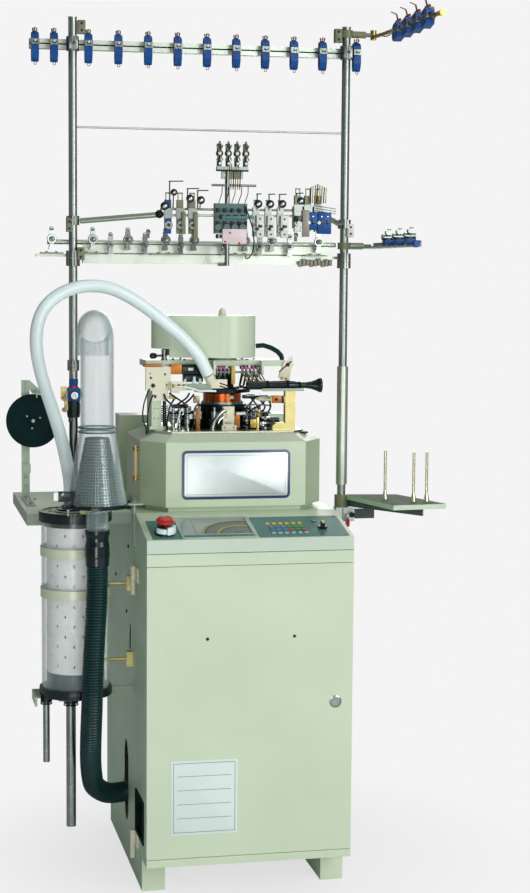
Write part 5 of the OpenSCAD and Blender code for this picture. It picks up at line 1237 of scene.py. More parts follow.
@dataclass(frozen=True)
class KnittingHead:
    """Gear housing and everything that stands on its plate."""

    name_plate: Pair = (304.0, 135.0)
    head_z: float = 1232.0
    axis_y: float = 434.0
    column: Pair = (-177.0, 367.0)
    column_face: float = 351.0
    needle_count: int = 60
    needle_r: float = 46.65
    needle_foot: float = 1246.0
    needle_tall: float = 58.0
    finger_pitch: float = 11.0
    column_holes: Rows = (
        (-221, 1389, 1.6), (-219, 1377, 2.6), (-179, 1387, 2.6),
        (-213, 1355, 5.0), (-207, 1325, 3.6), (-175, 1357, 2.1))

    def dress(self) -> None:
        """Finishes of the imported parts."""
        dress_plain(machine_plate=Finish.PLATE, cam_box=Finish.IRON, needle_cylinder=Finish.STEEL,
                    dial=Finish.CHROME, dial_hub=Finish.IRON, bridge_plate=Finish.GREEN,
                    yarn_tower=Finish.ZINC, trumpet_tube=Finish.GLOSS_BLACK, yarn_fingers=Finish.CHROME,
                    head_hoses=Finish.RUBBER)
        # Upward sloping chamfers take a painted highlight and the sides painted shade; the rest keeps the
        # green paint.
        dress("gear_housing", Finish.GREEN, Finish.HOUSING_SIDE, Finish.BEVEL, faces=lambda c, n: np.where(
            (n[:, 2] > 0.2) & (n[:, 2] < 0.98), 2, np.where(np.abs(n[:, 0]) > 0.2, 1, 0)))
        dress("oil_gauge", Finish.BRASS, Finish.GAUGE, faces=lambda c, n: np.abs(c[:, 2] - 1142) < 34.05)
        dress("sinker_cap", Finish.BRONZE, Finish.STEEL, faces=lambda c, n: c[:, 2] < 1305.3)
        dress("actuators", Finish.CHROME, Finish.CREAM, Finish.IRON, faces=lambda c, n: np.where(
            (c[:, 1] < 352.3) & (np.abs(c[:, 0]) < 21.5), 1, 2 * (np.abs(c[:, 2] - 1248) < 13)))
        dress("side_column", Finish.GREEN, Finish.GLOSS_BLACK, faces=lambda c, n: (
            np.hypot(c[:, 0] - self.column[0], c[:, 1] - self.column[1]) < 10.6) & (c[:, 2] > 1240.3))
        dress("drum_cover", Finish.GREEN, Finish.CREAM, faces=lambda c, n: c[:, 2] > 1549.05)
        dress("feeder_plates", Finish.CREAM, Finish.TABLE_GREEN, faces=lambda c, n: (
            (c[:, 0] > -140.1) & (c[:, 0] < -50.2) & (c[:, 2] < 1361) & (c[:, 2] > 1341)))

    def blank_plate(self) -> None:
        """Bare nameplate on the housing: a dark rounded border round a silver field."""
        shape = Shape("housing_plate")
        wide, tall = self.name_plate
        face = facing(0, 218, 1116.5)
        shape.slab(wide, tall, 1.8, face, 0, 13, 0.5)
        shape.slab(wide - 15, tall - 15, 0.6, beside(face, z=1.7), 1, 7, 0.2)
        shape.border(wide - 27, tall - 27, 1.0, 0.25, beside(face, z=2.25), 2)
        shape.make("machine", "steel", Finish.NAVY, Finish.SILVER, Finish.RULING)

    def plate_screws(self) -> None:
        """Screws of the cream plates, the column and the cover."""
        shape = Shape("plate_screws")
        for x, z, r in self.column_holes:
            rim = ((r, 6.9), (r * 1.5, 6.9), (r * 1.45, 7.4), (r * 1.05, 7.5))
            shape.bolt(facing(x, self.column_face, z), r * 0.86, 4.6)
            shape.hollow(rim, facing(x, self.column_face, z), 1, 16)
        shape.bolt(facing(176, 371, 1411), 5.2, 6)
        for x, z in ((160, 1374), (172, 1372)):
            shape.bolt(facing(x, 363.9, z), 3.4, 4, 2)
        shape.rod((150, 361, 1391), (186, 359, 1421), 1.8, 3, 8)
        for x, z in ((-206, 1262), (-206, 1290), (-196, 1262), (-196, 1290)):
            shape.bolt(facing(x, 356, z), 2.2, 1.6, 1)
        for x, y, _ in around(8, 50, 0, self.axis_y):
            aside = 50 if x < -1 else 0
            shape.bolt(spot(x * 92 / 50 - aside, y, 1424), 3.4, 3, 1)
        shape.make("machine", "black_plastic", Finish.GLOSS_BLACK, Finish.STEEL, Finish.BRASS,
                   Finish.COPPER_WIRE)

    def bridge_gear(self) -> None:
        """What hangs on the bridge's front edge: blocks, valves and the hold-down post."""
        shape = Shape("bridge_gear")
        shape.slabs(
            (0, 52, 25, 7.6, -212, 358.5, 1407, 2, 0.6), (0, 33, 21.5, 28, -146.5, 361, 1386, 2, 0.8),
            (1, 66, 11.6, 28, -95, 366, 1385, 2, 0.8), (1, 54, 34, 21, -96, 372, 1364, 3, 1),
            (2, 15, 6, 8, -104, 357.5, 1396, 1.5, 0.6), (2, 12, 6, 7, -74, 357.5, 1394, 1.5, 0.6))
        for x, z, tall in ((-121, 1356, 17), (-95, 1357, 22), (-78, 1360, 14)):
            valve = ((4.4, 0), (5.4, 1), (5.4, tall * 0.5), (3.8, tall * 0.55), (3.8, tall))
            shape.turned(valve, spot(x, 353, z), 2, 14)
            shape.rod((x, 353, z + tall - 3), (x, 362, z + tall + 3), 3, 1, 8)
        post = ((9, 0), (9, 3), (7.4, 4), (7.4, 24), (8.4, 25), (8.4, 29), (6, 30))
        shape.turned(post, spot(-173, 400, 1424), 3, 20)
        shape.rod((-171, 398, 1437), (-204, 380, 1436.5), 3.2, 3, 10)
        grip = ((4, 0), (7.5, 2), (8.4, 8), (8.4, 15), (6, 18))
        shape.turned(grip, spot(-199, 382.6, 1436.6, ry=-90, rz=29), 1, 18)
        shape.make("machine", "iron", Finish.OCHRE, Finish.GLOSS_BLACK, Finish.MILK, Finish.STEEL)

    def yarn_guides(self) -> None:
        """The yellow guide, the pink-ended tubes in front of the bridge and the bent lever."""
        shape = Shape("yarn_guides")
        shape.slabs((0, 11, 6, 48, 14, 341, 1359, 1.5, 0.8), (0, 9, 31, 7, 14, 356, 1401, 1.5, 0.6),
                    (5, 44, 7.6, 26, -143, 329.8, 1341, 2, 0.8))
        shape.turned(((3.4, 0), (4.2, 1), (4.2, 4)), facing(14, 338.5, 1366), 4, 12)
        for k in range(4):
            x = -33 + 10.5 * k
            shape.turned(((2.6, 0), (3.6, 1), (3.6, 9), (2.4, 11)), spot(x, 361, 1399), 1 if k % 3 else 2, 12)
            route = ((x, 361, 1399), (x + 1, 357, 1390), (x + 2, 352, 1378), (x + 1, 350, 1371.5))
            shape.wire(route, 1.7, 3)
        for k in range(5):
            x = 42 + 11 * k
            tip = ((2.4, 0), (3.8, 1), (3.8, 8), (2.6, 10))
            shape.turned(tip, spot(x, 364, 1401, rx=12), 1 if k != 2 else 2, 12)
            route = ((x, 363, 1402), (x + 3, 356, 1388), (x + 9, 338, 1371), (x + 17, 331, 1362))
            shape.wire(route, 2.1, 4)
        for a, b, z in ((-37, 4, 1403), (38, 92, 1405)):
            shape.rod((a, 366, z), (b, 366, z), 5.4, 3, 10)
        shape.wire(((-166, 329, 1353), (-150, 322, 1353), (-128, 320, 1352), (-104, 320, 1347),
                    (-86, 320, 1341), (-60, 321, 1341), (-38, 326, 1340)), 3.0, 2, 10)
        for x in (-158, -143, -128):
            shape.turned(((5.2, 0), (5.6, 2), (3.8, 4), (3.8, 6), (2.2, 7)), facing(x, 326.2, 1355), 4, 14)
        shape.make("machine", "brass", Finish.AMBER, Finish.PINK, Finish.MILK, Finish.GLOSS_BLACK,
                   Finish.BRASS, Finish.CREAM)

    def finger_ends(self) -> None:
        """Bright and black bows on the yarn fingers."""
        shape = Shape("finger_bows")
        for first, count in ((-31, 4), (42, 5)):
            for k in range(count):
                shape.band(2.6, 3.8, 0, 4, spot(first + self.finger_pitch * k, 347, 1399), 0, 14)
        for k in range(5):
            x = 42 + self.finger_pitch * k
            bow = ((x, 346.2, 1397), (x + 3, 340, 1392), (x + 9, 330, 1382), (x + 14, 324, 1371),
                   (x + 20, 324, 1363))
            shape.wire(bow, 1.5, 1 if k % 2 else 2)
        shape.make("yarn_fingers", "steel", Finish.PINK, Finish.CHROME, Finish.GLOSS_BLACK)

    def left_valves(self) -> None:
        """Valve columns and curling hoses left of the cam box."""
        shape = Shape("left_valves")
        z = self.head_z
        valve = ((8.5, 0), (8.5, 5), (6, 6), (6, 16), (9.2, 18), (9.2, 30), (6.4, 32), (6.4, 40), (9, 42),
                 (9, 52), (4.6, 54), (4.6, 62))
        for x, y, turn in ((-158, 332, 0), (-118, 330, 20), (-137, 352, 10)):
            shape.turned(valve, spot(x, y, z, rz=turn), 0, 18)
            shape.band(9.25, 10.2, 44, 49, spot(x, y, z), 1, 18)
        shape.slabs(
            (2, 13, 9, 60, -86, 344, z, 1.5, 0.8), (3, 16, 16, 20, -90, 345, 1306, 2, 0.8),
            (4, 13, 5, 9, -90, 334.6, 1311, 1.5, 0.6), (1, 42, 20, 12, -134, 352, 1291, 2, 1),
            (5, 11, 9, 14, -168, 336, 1288, 2, 0.8), (5, 11, 9, 14, -108, 336, 1262, 2, 0.8),
            (3, 17, 13, 10, -160, 342, 1318, 2, 0.8))
        for k in range(4):
            shape.bolt(facing(-86, 339.6, z + 10 + 14 * k), 2.6, 1.8, 4)
        hoses = (((-158, 332, 1293), (-166, 331, 1306), (-178, 338, 1318), (-182, 342, 1332)),
                 ((-118, 330, 1293), (-128, 326, 1306), (-146, 328, 1319), (-168, 340, 1334)),
                 ((-137, 352, 1290), (-126, 334, 1304), (-110, 332, 1318), (-98, 342, 1330)),
                 ((-150, 345, 1298), (-140, 326, 1308), (-121, 325, 1322), (-112, 334, 1334)),
                 ((-172, 350, 1232.5), (-175, 335, 1252), (-171, 330, 1276), (-166, 333, 1300),
                  (-150, 342, 1322)),
                 ((-104, 335, 1233), (-99, 328, 1250), (-101, 327, 1272), (-96, 333, 1292), (-84, 338, 1306)))
        for route in hoses:
            shape.wire(route, 2.7, 1)
            shape.hoop(spot(*route[0]), 2.8, 0.9, 0, 10, 6)
        shape.wire(((-150, 321, 1236), (-146, 318, 1262), (-140, 322, 1282), (-132, 330, 1292)), 1.8, 5)
        shape.make("machine", "chrome", Finish.CHROME, Finish.GLOSS_BLACK, Finish.OCHRE, Finish.BRASS,
                   Finish.STEEL, Finish.MILK)

    def right_valves(self) -> None:
        """Motor, brass cams and wiring right of the cam box."""
        shape = Shape("right_valves")
        z = self.head_z
        motor, cams = spot(50, 334, z), spot(106, 338, z)
        shape.turned(((10.5, 0), (10.5, 50), (9, 53), (5, 54), (5, 60)), motor, 0, 22)
        for low in (8, 23, 38):
            shape.band(10.6, 11.3, low, low + 4, motor, 1, 22)
        rings = ((17, 0), (17, 9), (12, 10), (12, 13), (18, 14), (18, 22), (11, 23), (11, 27), (16, 28),
                 (16, 33), (9, 34), (9, 44))
        shape.turned(rings, cams, 0, 24)
        for low, high, r in ((1.5, 6, 17), (15, 20, 18), (28.5, 31, 16)):
            shape.band(r + 0.05, r + 0.8, low, high, cams, 1)
        shape.hollow(((14, 0), (22, 0), (24, 14), (21, 26), (17, 26), (19, 13)), spot(128, 352, z), 0, 24)
        shape.slabs(
            (2, 21, 4, 25, 70, 324, 1236, 1.5, 0.6), (3, 8, 5, 34, 81, 321.5, z, 1, 0.5),
            (2, 8, 6, 20, 84, 321, 1268, 1, 0.5), (4, 13, 9, 9, 68, 328, 1262, 2, 0.8),
            (1, 24, 10, 7, 104, 322, 1262, 2, 0.8), (0, 34, 12, 5, 101, 325, 1276, 2, 0.8),
            (1, 13, 8, 13, 93, 319, 1241, 2, 0.8), (5, 44, 26, 30, 132, 376, z, 5, 2),
            (0, 72, 24, 9, 78, 344, 1318, 3, 1), (0, 10, 12, 12, 112, 328, 1313, 2, 0.8),
            (1, 38, 7, 6, 68, 328, 1325, 2, 0.8))
        for route in (((44, 330, 1286), (56, 326, 1300), (70, 325, 1316), (84, 330, 1328)),
                      ((86, 328, 1284), (78, 322, 1300), (66, 324, 1316), (54, 332, 1330)),
                      ((60, 330, 1280), (72, 322, 1292), (92, 322, 1302), (106, 330, 1316)),
                      ((112, 332, 1278), (118, 326, 1292), (116, 328, 1310), (108, 338, 1326)),
                      ((96, 330, 1280), (102, 324, 1296), (90, 324, 1312), (78, 332, 1324))):
            shape.wire(route, 2.6, 0)
        for route in (((40, 322, 1266), (58, 318, 1276), (82, 317, 1280), (112, 322, 1280)),
                      ((44, 320, 1300), (70, 316, 1302), (104, 320, 1300), (122, 330, 1298))):
            shape.wire(route, 2.0, 1)
        shape.make("machine", "iron", Finish.GLOSS_BLACK, Finish.CHROME, Finish.BRASS, Finish.ZINC,
                   Finish.NAVY, Finish.CAP_GREY)

    def cam_front(self) -> None:
        """Fittings of the cream cam slide and the cap ring."""
        shape = Shape("cam_front")
        shape.wire(((-13, 326, 1286), (-30, 322, 1274), (-43, 320, 1254), (-49, 321, 1232.3)), 6.2, 0, 14)
        shape.wire(((-14, 329, 1268), (-26, 324, 1260), (-34, 322, 1246), (-37, 324, 1232.3)), 3.4, 0, 10)
        shape.slabs(
            (1, 15, 13, 45, 24, 332, 1236, 2, 1), (3, 16, 3, 26, 1, 328.6, 1262, 2, 0.8),
            (4, 22, 3, 6, 0, 328.4, 1248, 1, 0.5), (2, 12, 3, 9, 17, 379.6, 1314, 1, 0.5),
            (1, 28, 21, 20.6, 129, 300, 1307.7, 2, 0.8), (5, 9, 19, 21.6, 146, 300, 1307.2, 2, 0.8),
            (6, 120, 6, 7.6, 145, 284.4, 1341.6, 2, 0.6), (5, 24, 62, 6, 207, 318, 1221.8, 2, 1))
        shape.turned(((4.4, 0), (4.4, 24), (3.2, 26)), spot(20, 322, 1276, ry=86), 2, 14)
        for x in (-13, 13):
            shape.bolt(facing(x, 322, 1238), 2.8, 2, 4)
        for z in (1268, 1280):
            shape.bolt(facing(-11, 330, z), 2.4, 2, 4)
        for x, y, _ in around(12, 57, 0, self.axis_y, 0.2):
            shape.bolt(spot(x, y, 1305), 2.0, 1.5, 4)
        for x, y, _ in around(16, 73.4, 0, self.axis_y, 11 / 22.5):
            shape.bolt(spot(x, y, 1240), 2.2, 2, 4)
        shape.bolt(facing(127, 289.6, 1318), 4, 2.4, 5)
        shape.turned(((6.4, 0), (6.4, 34), (5, 37)), spot(116, 302, 1318.5, ry=-90, rz=-21), 2, 16)
        shape.make("machine", "chrome", Finish.CHROME, Finish.OCHRE, Finish.IVORY, Finish.CREAM,
                   Finish.STEEL, Finish.GLOSS_BLACK, Finish.TABLE_GREEN)

    def horn_rings(self) -> None:
        """Lips and clamp bands on the black horn."""
        shape = Shape("horn_rings")
        along = spot(44, 300, 1357, ry=90)
        for low, high, r in ((56, 62, 12.1), (112, 120, 13.1), (148, 154, 8.7)):
            shape.band(r, r + 1.2, low, high, along, 0, 28)
        shape.hoop(beside(along, z=213), 19, 1.9, 1, 28)
        shape.make("machine", "black_plastic", Finish.BLACK, Finish.GLOSS_BLACK)

    def needles(self) -> None:
        """Latch needles standing in the cylinder's tricks."""
        shape = Shape("latch_needles")
        for x, y, turn in around(self.needle_count, self.needle_r, 0, self.axis_y):
            place = spot(x, y, self.needle_foot, rz=turn)
            shape.slab(1.3, 0.9, self.needle_tall, place, 0, 0.2, 0.1)
            shape.slab(2.6, 0.9, 2.2, beside(place, -0.6, 0, self.needle_tall), 0, 0.2, 0.1)
        shape.make("needle_cylinder", "steel", Finish.CHROME)

    def build(self) -> None:
        """Dresses and details the head."""
        for part in (self.dress, self.blank_plate, self.plate_screws, self.bridge_gear, self.yarn_guides,
                     self.finger_ends, self.left_valves, self.right_valves, self.cam_front, self.horn_rings,
                     self.needles):
            part()


@dataclass(frozen=True)
class LintFilter:
    """Clear lint can with its screen, clamps and drains."""

    axis: Pair = (-447.5, 182.0)
    grips: Rows = ((532.5, 20.0), (1006.0, 23.0))
    top_z: float = 1031.0
    cap_r: float = 97.0
    strap_turn: float = 65.0
    drains: Rows = ((-528.0, 175.0, 9.0), (-464.0, 150.0, 13.0))

    def dress(self) -> None:
        """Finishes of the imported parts."""
        dress_plain(filter_tube=Finish.CAN_CLEAR, filter_screen=Finish.SCREEN_WHITE,
                    drain_tubes=Finish.STEEL, side_brackets=Finish.TABLE_GREEN)
        # The cap's upward top face takes the pale lit-top green: painted light.
        dress("filter_caps", Finish.GLOSS_BLACK, Finish.CAP_GREY, Finish.TABLE_TOP,
              faces=lambda c, n: np.where((n[:, 2] > 0.7) & (c[:, 2] > 1020), 2,
                                          (c[:, 2] > 554.2) & (c[:, 2] < 700)))
        dress("filter_clamps", Finish.STRAP, Finish.ZINC, faces=lambda c, n: np.hypot(
            c[:, 0] - self.axis[0], c[:, 1] - self.axis[1]) > 112)

    def cap_fittings(self) -> None:
        """Grip ribs, cap screws, and the cap's slot, knob and tag."""
        shape = Shape("filter_fittings")
        x, y = self.axis
        top = self.top_z
        for low, tall in self.grips:
            for at_x, at_y, turn in around(72, self.cap_r, x, y):
                shape.slab(1.6, 3.4, tall, spot(at_x, at_y, low, rz=turn), 0, 0.6, 0.4)
        for at_x, at_y, _ in around(6, 78, x, y, 0.4):
            shape.bolt(spot(at_x, at_y, top), 5, 4, 1)
        shape.slab(52, 13, 1.2, spot(x - 24, y + 28, top, rz=-6), 0, 6, 0.4)
        shape.turned(((5, 0), (6, 2), (6, 20), (4.4, 24), (1, 25)), spot(x + 4, y + 23, top), 0, 18)
        shape.slabs((2, 18, 12, 27, x + 11.5, y - 84, top, 2, 1), (3, 6, 12, 27, x + 25, y - 84, top, 2, 1))
        shape.make("machine", "black_plastic", Finish.GLOSS_BLACK, Finish.STEEL, Finish.AMBER_PALE,
                   Finish.CREAM)

    def strap_screws(self) -> None:
        """Clamp screws through the strap ends, and the grooves of the drain unions."""
        shape = Shape("strap_screws")
        for z in STRAP_ZS:
            place = beside(spot(*self.axis, z, rz=self.strap_turn), 102, -20) @ spot(0, 0, 0, rx=-90)
            shape.turned(((3.2, 0), (3.2, 38), (2.4, 39)), place, 0, 10)
            shape.turned(((6.4, -1), (6.8, 0), (6.8, 4), (6.0, 5)), place, 0, 6)
        for x, y, r in self.drains:
            groove = ((r + 6.02, 0), (r + 7.2, 0.6), (r + 7.2, 3.2), (r + 6.02, 3.8))
            for z in (506, 513, 520):
                shape.hollow(groove, spot(x, y, z), 1, 24)
        shape.make("machine", "steel", Finish.STEEL, Finish.GLOSS_BLACK)

    def build(self) -> None:
        """Dresses and details the filter."""
        self.dress()
        self.cap_fittings()
        self.strap_screws()


@dataclass(frozen=True)
class SockFunnel:
    """Funnel with its mesh cone, swan neck and cuffs."""

    ring_z: float = 1054.0
    neck_z: float = 1253.0

    def build(self) -> None:
        """Dresses and details the funnel."""
        dress_plain(funnel_shell=Finish.CLEAR, funnel_screen=Finish.MESH,
                    suction_couplings=Finish.GLOSS_BLACK, clear_pipes=Finish.CLEAR)
        shape = Shape("funnel_fittings")
        x, y = FUNNEL_AXIS
        z = self.ring_z
        for at_x, at_y, _ in around(12, 82.5, x, y, 0.5):
            shape.bolt(spot(at_x, at_y, z + 10), 2.8, 2.4)
        shape.slabs(
            (3, 24, 22, 22, x - 74, y - 26, z + 4, 3, 1), (3, 48, 16, 26, x - 82, y - 30, z + 20, 3, 1),
            (1, 13, 16, 22, x - 112, y - 30, z + 23, 2, 1))
        shape.turned(((4.4, 0), (4.4, 1), (3, 1.8)), facing(x - 95, y - 38, z + 39), 0, 14)
        shape.rod((x - 80, y - 30, z + 6), (x - 80, y - 30, z - 18), 5, 0, 12)
        for rise in (-3, 9):
            shape.hollow(((47.7, 0), (50, 0.6), (50, 4), (47.7, 4.6)), spot(x, y, self.neck_z + rise), 2, 40)
        shape.make("machine", "steel", Finish.STEEL, Finish.MILK, Finish.CAP_GREY, Finish.GLOSS_BLACK)


@dataclass(frozen=True)
class Tables:
    """Side tables, the yarn reel and the air unit."""

    table_z: float = 1010.0
    strip: Pair = (-542.7, 640.0)
    reel: Triple = (-523.0, 617.0, 1238.2)
    air: Triple = (-411.0, 562.0, 1300.0)
    sleeve: Pair = (397.0, 594.0)

    def right_faces(self, c: Array, n: Array) -> Array:
        """Pegs, sleeve, dark top, pale front, side rims in the painted shade green, and painted shade on the
        rest of the right table.

        Args:
            c: the faces' middles.
            n: their normals.

        Returns:
            Each face's finish number.
        """
        rest = np.where(n[:, 1] < -0.6, 1, np.where(c[:, 2] > 996.2, 5, 2))
        rest = np.where(n[:, 2] > 0.5, 0, np.where(n[:, 2] < -0.5, 2, rest))
        sleeve = np.hypot(c[:, 0] - self.sleeve[0], c[:, 1] - self.sleeve[1]) < 21.5
        return np.where(c[:, 2] > 1011, 3, np.where(sleeve, 4, rest))

    def dress(self) -> None:
        """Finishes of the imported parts."""
        # The table's upward faces take the pale lit-top green as painted light; the other faces keep the
        # table green.
        dress("left_table", Finish.TABLE_TOP, Finish.TABLE_GREEN, faces=lambda c, n: n[:, 2] < 0.5)
        dress("right_table", Finish.TABLE_DARK, Finish.TABLE_EDGE, Finish.TABLE_SHADE, Finish.PEG_BRASS,
              Finish.OLIVE, Finish.SIDE_GREEN, faces=self.right_faces)
        dress("reel_bracket", Finish.TABLE_GREEN, Finish.STEEL,
              faces=lambda c, n: (c[:, 2] > 1195) & (c[:, 2] < 1260) & (c[:, 1] < 639.8))
        dress("reel_disc", Finish.BLACK)
        dress("air_unit", Finish.BLUE, Finish.GLOSS_BLACK, Finish.ZINC,
              faces=lambda c, n: np.where(c[:, 0] < self.air[0] - 18.5, 2, c[:, 2] < self.air[2] - 0.5))
        dress("air_knob", Finish.BLUE)

    def air_details(self) -> None:
        """Lock ring, gauge face, valve levers, bowl ribs and drain pipes of the air unit."""
        shape = Shape("air_details")
        x, y, z = self.air
        shape.hollow(((12.4, 0), (15, 0.8), (15, 5.4), (12.4, 6.2)), spot(x, y, z + 36), 0, 24)
        shape.turned(((11.4, 0), (12.6, 1), (12.6, 4), (11.6, 5)), facing(x, y - 23.9, z + 16), 1, 26)
        shape.turned(((10.6, 0), (10.6, 0.6), (10.2, 0.8)), facing(x, y - 28.8, z + 16), 2, 26)
        shape.slab(1.2, 9, 0.6, facing(x + 1.5, y - 29.5, z + 18, 25), 0, 0.4, 0.2)
        for rise in (6, -26):
            shape.turned(((6, 0), (7, 2), (7, 9), (5, 10)), facing(x - 28, y - 7.5, z + rise), 3, 16)
            shape.slab(5, 2.4, 22, spot(x - 28, y - 18.6, z + rise - 6, ry=16), 4, 1, 0.5)
        for at_x, at_y, turn in around(10, 18, x, y):
            shape.slab(2.4, 1.8, 34, spot(at_x, at_y, z - 41, rz=turn), 1, 0.6, 0.4)
        for pipe in (((-8, 0, -60), (-9, 2, -96), (-6, 6, -140), (-2, 10, -178)),
                     ((8, 1, -49), (9, 3, -90), (6, 8, -134), (8, 10, -176))):
            shape.wire([(x + dx, y + dy, z + dz) for dx, dy, dz in pipe], 3.6, 1, 10)
        shape.make("machine", "black_plastic", Finish.RED, Finish.GLOSS_BLACK, Finish.MILK, Finish.BRASS,
                   Finish.STEEL)

    def reel_details(self) -> None:
        """The reel's hub, screws and groove, and the screws and block of its strip."""
        shape = Shape("reel_details")
        x, y, z = self.reel
        shape.turned(((13, 0), (14, 1), (14, 2.4), (9, 4)), facing(x, y - 3, z), 1, 24)
        for at_x, at_z, _ in around(3, 22, x, z, 1.2 / math.tau):
            shape.bolt(facing(at_x, y - 3, at_z), 3, 2)
        shape.hoop(facing(x, y - 3.2, z), 58, 0.8, 1, 60, 6)
        shape.make("reel_disc", "black_plastic", Finish.STEEL, Finish.BLACK)
        shape = Shape("strip_screws")
        x, y = self.strip
        for z in (1046, 1072, 1330, 1346):
            shape.bolt(facing(x, y, z), 4.2, 3)
        shape.slab(20, 17, 25, spot(x, y - 8.6, 1196), 1, 2, 1)
        for reach in (36, 182):
            shape.bolt(spot(x, y - reach, self.table_z + 6.2), 5, 4)
        shape.make("machine", "steel", Finish.STEEL, Finish.IRON)

    def table_screws(self) -> None:
        """Screws along the back of the left tray."""
        shape = Shape("table_screws")
        for x in (-520, -360, -300):
            shape.bolt(spot(x, 600, self.table_z), 4.6, 2.6)
        shape.make("machine", "steel", Finish.STEEL)

    def build(self) -> None:
        """Dresses and details the tables."""
        for part in (self.dress, self.air_details, self.reel_details, self.table_screws):
            part()


@dataclass(frozen=True)
class Creel:
    """Posts, rails, detectors, tensioners and arms."""

    rail_z: float = 2316.0
    detector_y: float = 592.7
    detector_xs: Numbers = (-515, -461, 428, *(-363 + 86 * k for k in range(9)))
    thin_z: float = 1755.0
    tension_y: float = 603.8
    big_xs: Numbers = (-470, -352, -250, -140, -56, 96, 176, 317)
    small_xs: Numbers = (-300, -200, -95, 35, 140, 230)
    mast: Pair = (26.0, 506.0)
    posts: Pair = (-408.0, 397.0)
    arm_x: float = 479.0
    unit_ys: Numbers = (332.0, 240.0, 148.0, 56.0)
    clip_ys: Numbers = (384.0, 274.0, 164.0)
    sensor_rows: tuple[tuple[float, int], ...] = (
        (-147, 1), (-112, 2), (-77, 2), (110, 3), (146, 3), (182, 3), (232, 4), (262, 1), (292, 1))

    def dress(self) -> None:
        """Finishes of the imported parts."""
        dress("creel_posts", Finish.POST)
        dress("post_clamps", Finish.STEEL, Finish.RAIL, Finish.TABLE_SHADE, Finish.SILVER, Finish.GLOSS_BLACK,
              faces=self.clamp_faces)
        dress("top_rail", Finish.RAIL, Finish.BLACK, faces=lambda c, n: (
            (np.abs(c[:, 2] - self.rail_z) < 2.2) & (c[:, 1] < 611) & (c[:, 1] > 607)))
        dress("thread_detectors", Finish.BLUE, Finish.STEEL, Finish.COPPER_WIRE, faces=self.detector_faces)
        dress("middle_rails", Finish.RAIL, Finish.TAUPE, Finish.IRON, faces=lambda c, n: np.where(
            (c[:, 2] > 1810) & (np.abs(c[:, 0] + 172) < 13), 2, (c[:, 2] > 1721) & (c[:, 2] < 1726)))
        dress("tensioners", Finish.CHROME, Finish.BLACK, Finish.TAUPE, faces=self.tension_faces)
        dress("yarn_sensors", Finish.STEEL, Finish.BLUE, Finish.OLIVE, Finish.IVORY, Finish.TAUPE,
              Finish.CAP_GREY, Finish.IRON, faces=self.sensor_faces)
        dress("upper_arm", Finish.OLIVE, Finish.BRASS, Finish.BLUE, Finish.COPPER_WIRE,
              faces=self.upper_faces)
        dress("lower_arm", Finish.OLIVE, Finish.BLUE, Finish.TABLE_GREEN, Finish.STEEL,
              faces=self.lower_faces)

    def clamp_faces(self, c: Array, n: Array) -> Array:
        """Pale sleeve, and the silver block with its black screw and shaded back, of the post clamps.

        Args:
            c: the faces' middles.
            n: their normals, which are not used.

        Returns:
            Each face's finish number.
        """
        screw = (np.hypot(c[:, 0] - 423, c[:, 2] - 951) < 8.4) & (c[:, 1] < 572.1)
        block = np.where(c[:, 1] > 607, 2, np.where(screw, 4, 3))
        sleeve = (c[:, 2] > 1039) & (c[:, 2] < 1396) & (c[:, 0] > 0)
        return np.where((c[:, 0] > 280) & (c[:, 2] < 975), block, sleeve)

    def detector_faces(self, c: Array, n: Array) -> Array:
        """Blue bodies with a steel band, wire eyes and pins.

        Args:
            c: the faces' middles.
            n: their normals, which are not used.

        Returns:
            Each face's finish number.
        """
        rise = c[:, 2] - self.rail_z
        across = np.min(np.abs(c[:, 0][:, None] - np.array(self.detector_xs)[None, :]), axis=1)
        band = (rise > -6.2) & (rise < 10.2) & ((c[:, 1] < self.detector_y - 14.5) | (across > 11.2))
        return np.where((rise > 29.3) | (rise < -53.3), 2, band)

    def tension_faces(self, c: Array, n: Array) -> Array:
        """Bright discs with dark edges, and dull blocks behind them.

        Args:
            c: the faces' middles.
            n: their normals.

        Returns:
            Each face's finish number.
        """
        disc = c[:, 1] < self.tension_y - 28.5
        block = (np.abs(n[:, 0]) > 0.5) & ~disc
        return np.where((np.abs(n[:, 1]) < 0.4) & (c[:, 1] < 578), 1, np.where(block, 2, 0))

    def sensor_faces(self, c: Array, n: Array) -> Array:
        """Steel, blue, olive, ivory, taupe, dark and wire faces of the yarn sensors.

        Args:
            c: the faces' middles.
            n: their normals.

        Returns:
            Each face's finish number.
        """
        x, y, z = c[:, 0], c[:, 1], c[:, 2]
        own = np.zeros(len(c), dtype=int)
        boxy = (z > 1774) & (z < 1878) & (y >= self.mast[1] - 8.4)
        for middle, colour in self.sensor_rows:
            own[boxy & (np.abs(x - middle) < 12.5)] = colour
        terminals = (np.abs(x - 35) < 48) & (z > 1781) & (z < 1869)
        own[terminals & (np.abs(n[:, 1]) < 0.99)] = 4
        own[terminals & (y < 492.5)] = 5
        own[(z > 1874) & (z < 1919) & ((x < 0) | (x > 100))] = 2
        own[z > 1974] = 6
        own[(z > 1974) & (y < 492)] = 2
        return own

    def upper_faces(self, c: Array, n: Array) -> Array:
        """Olive root, brass rod, blue units and wires of the upper arm.

        Args:
            c: the faces' middles.
            n: their normals, which are not used.

        Returns:
            Each face's finish number.
        """
        x, y, z = c[:, 0], c[:, 1], c[:, 2]
        near = np.min(np.abs(y[:, None] - np.array(self.unit_ys)[None, :]), axis=1)
        unit = (np.abs(x - self.arm_x) < 12.2) & (near < 27) & (z > 2318)
        rod = (np.abs(x - self.arm_x) < 12) & (y < 606)
        return np.where((z > 2372) & (y < 380), 3, np.where(unit, 2, rod))

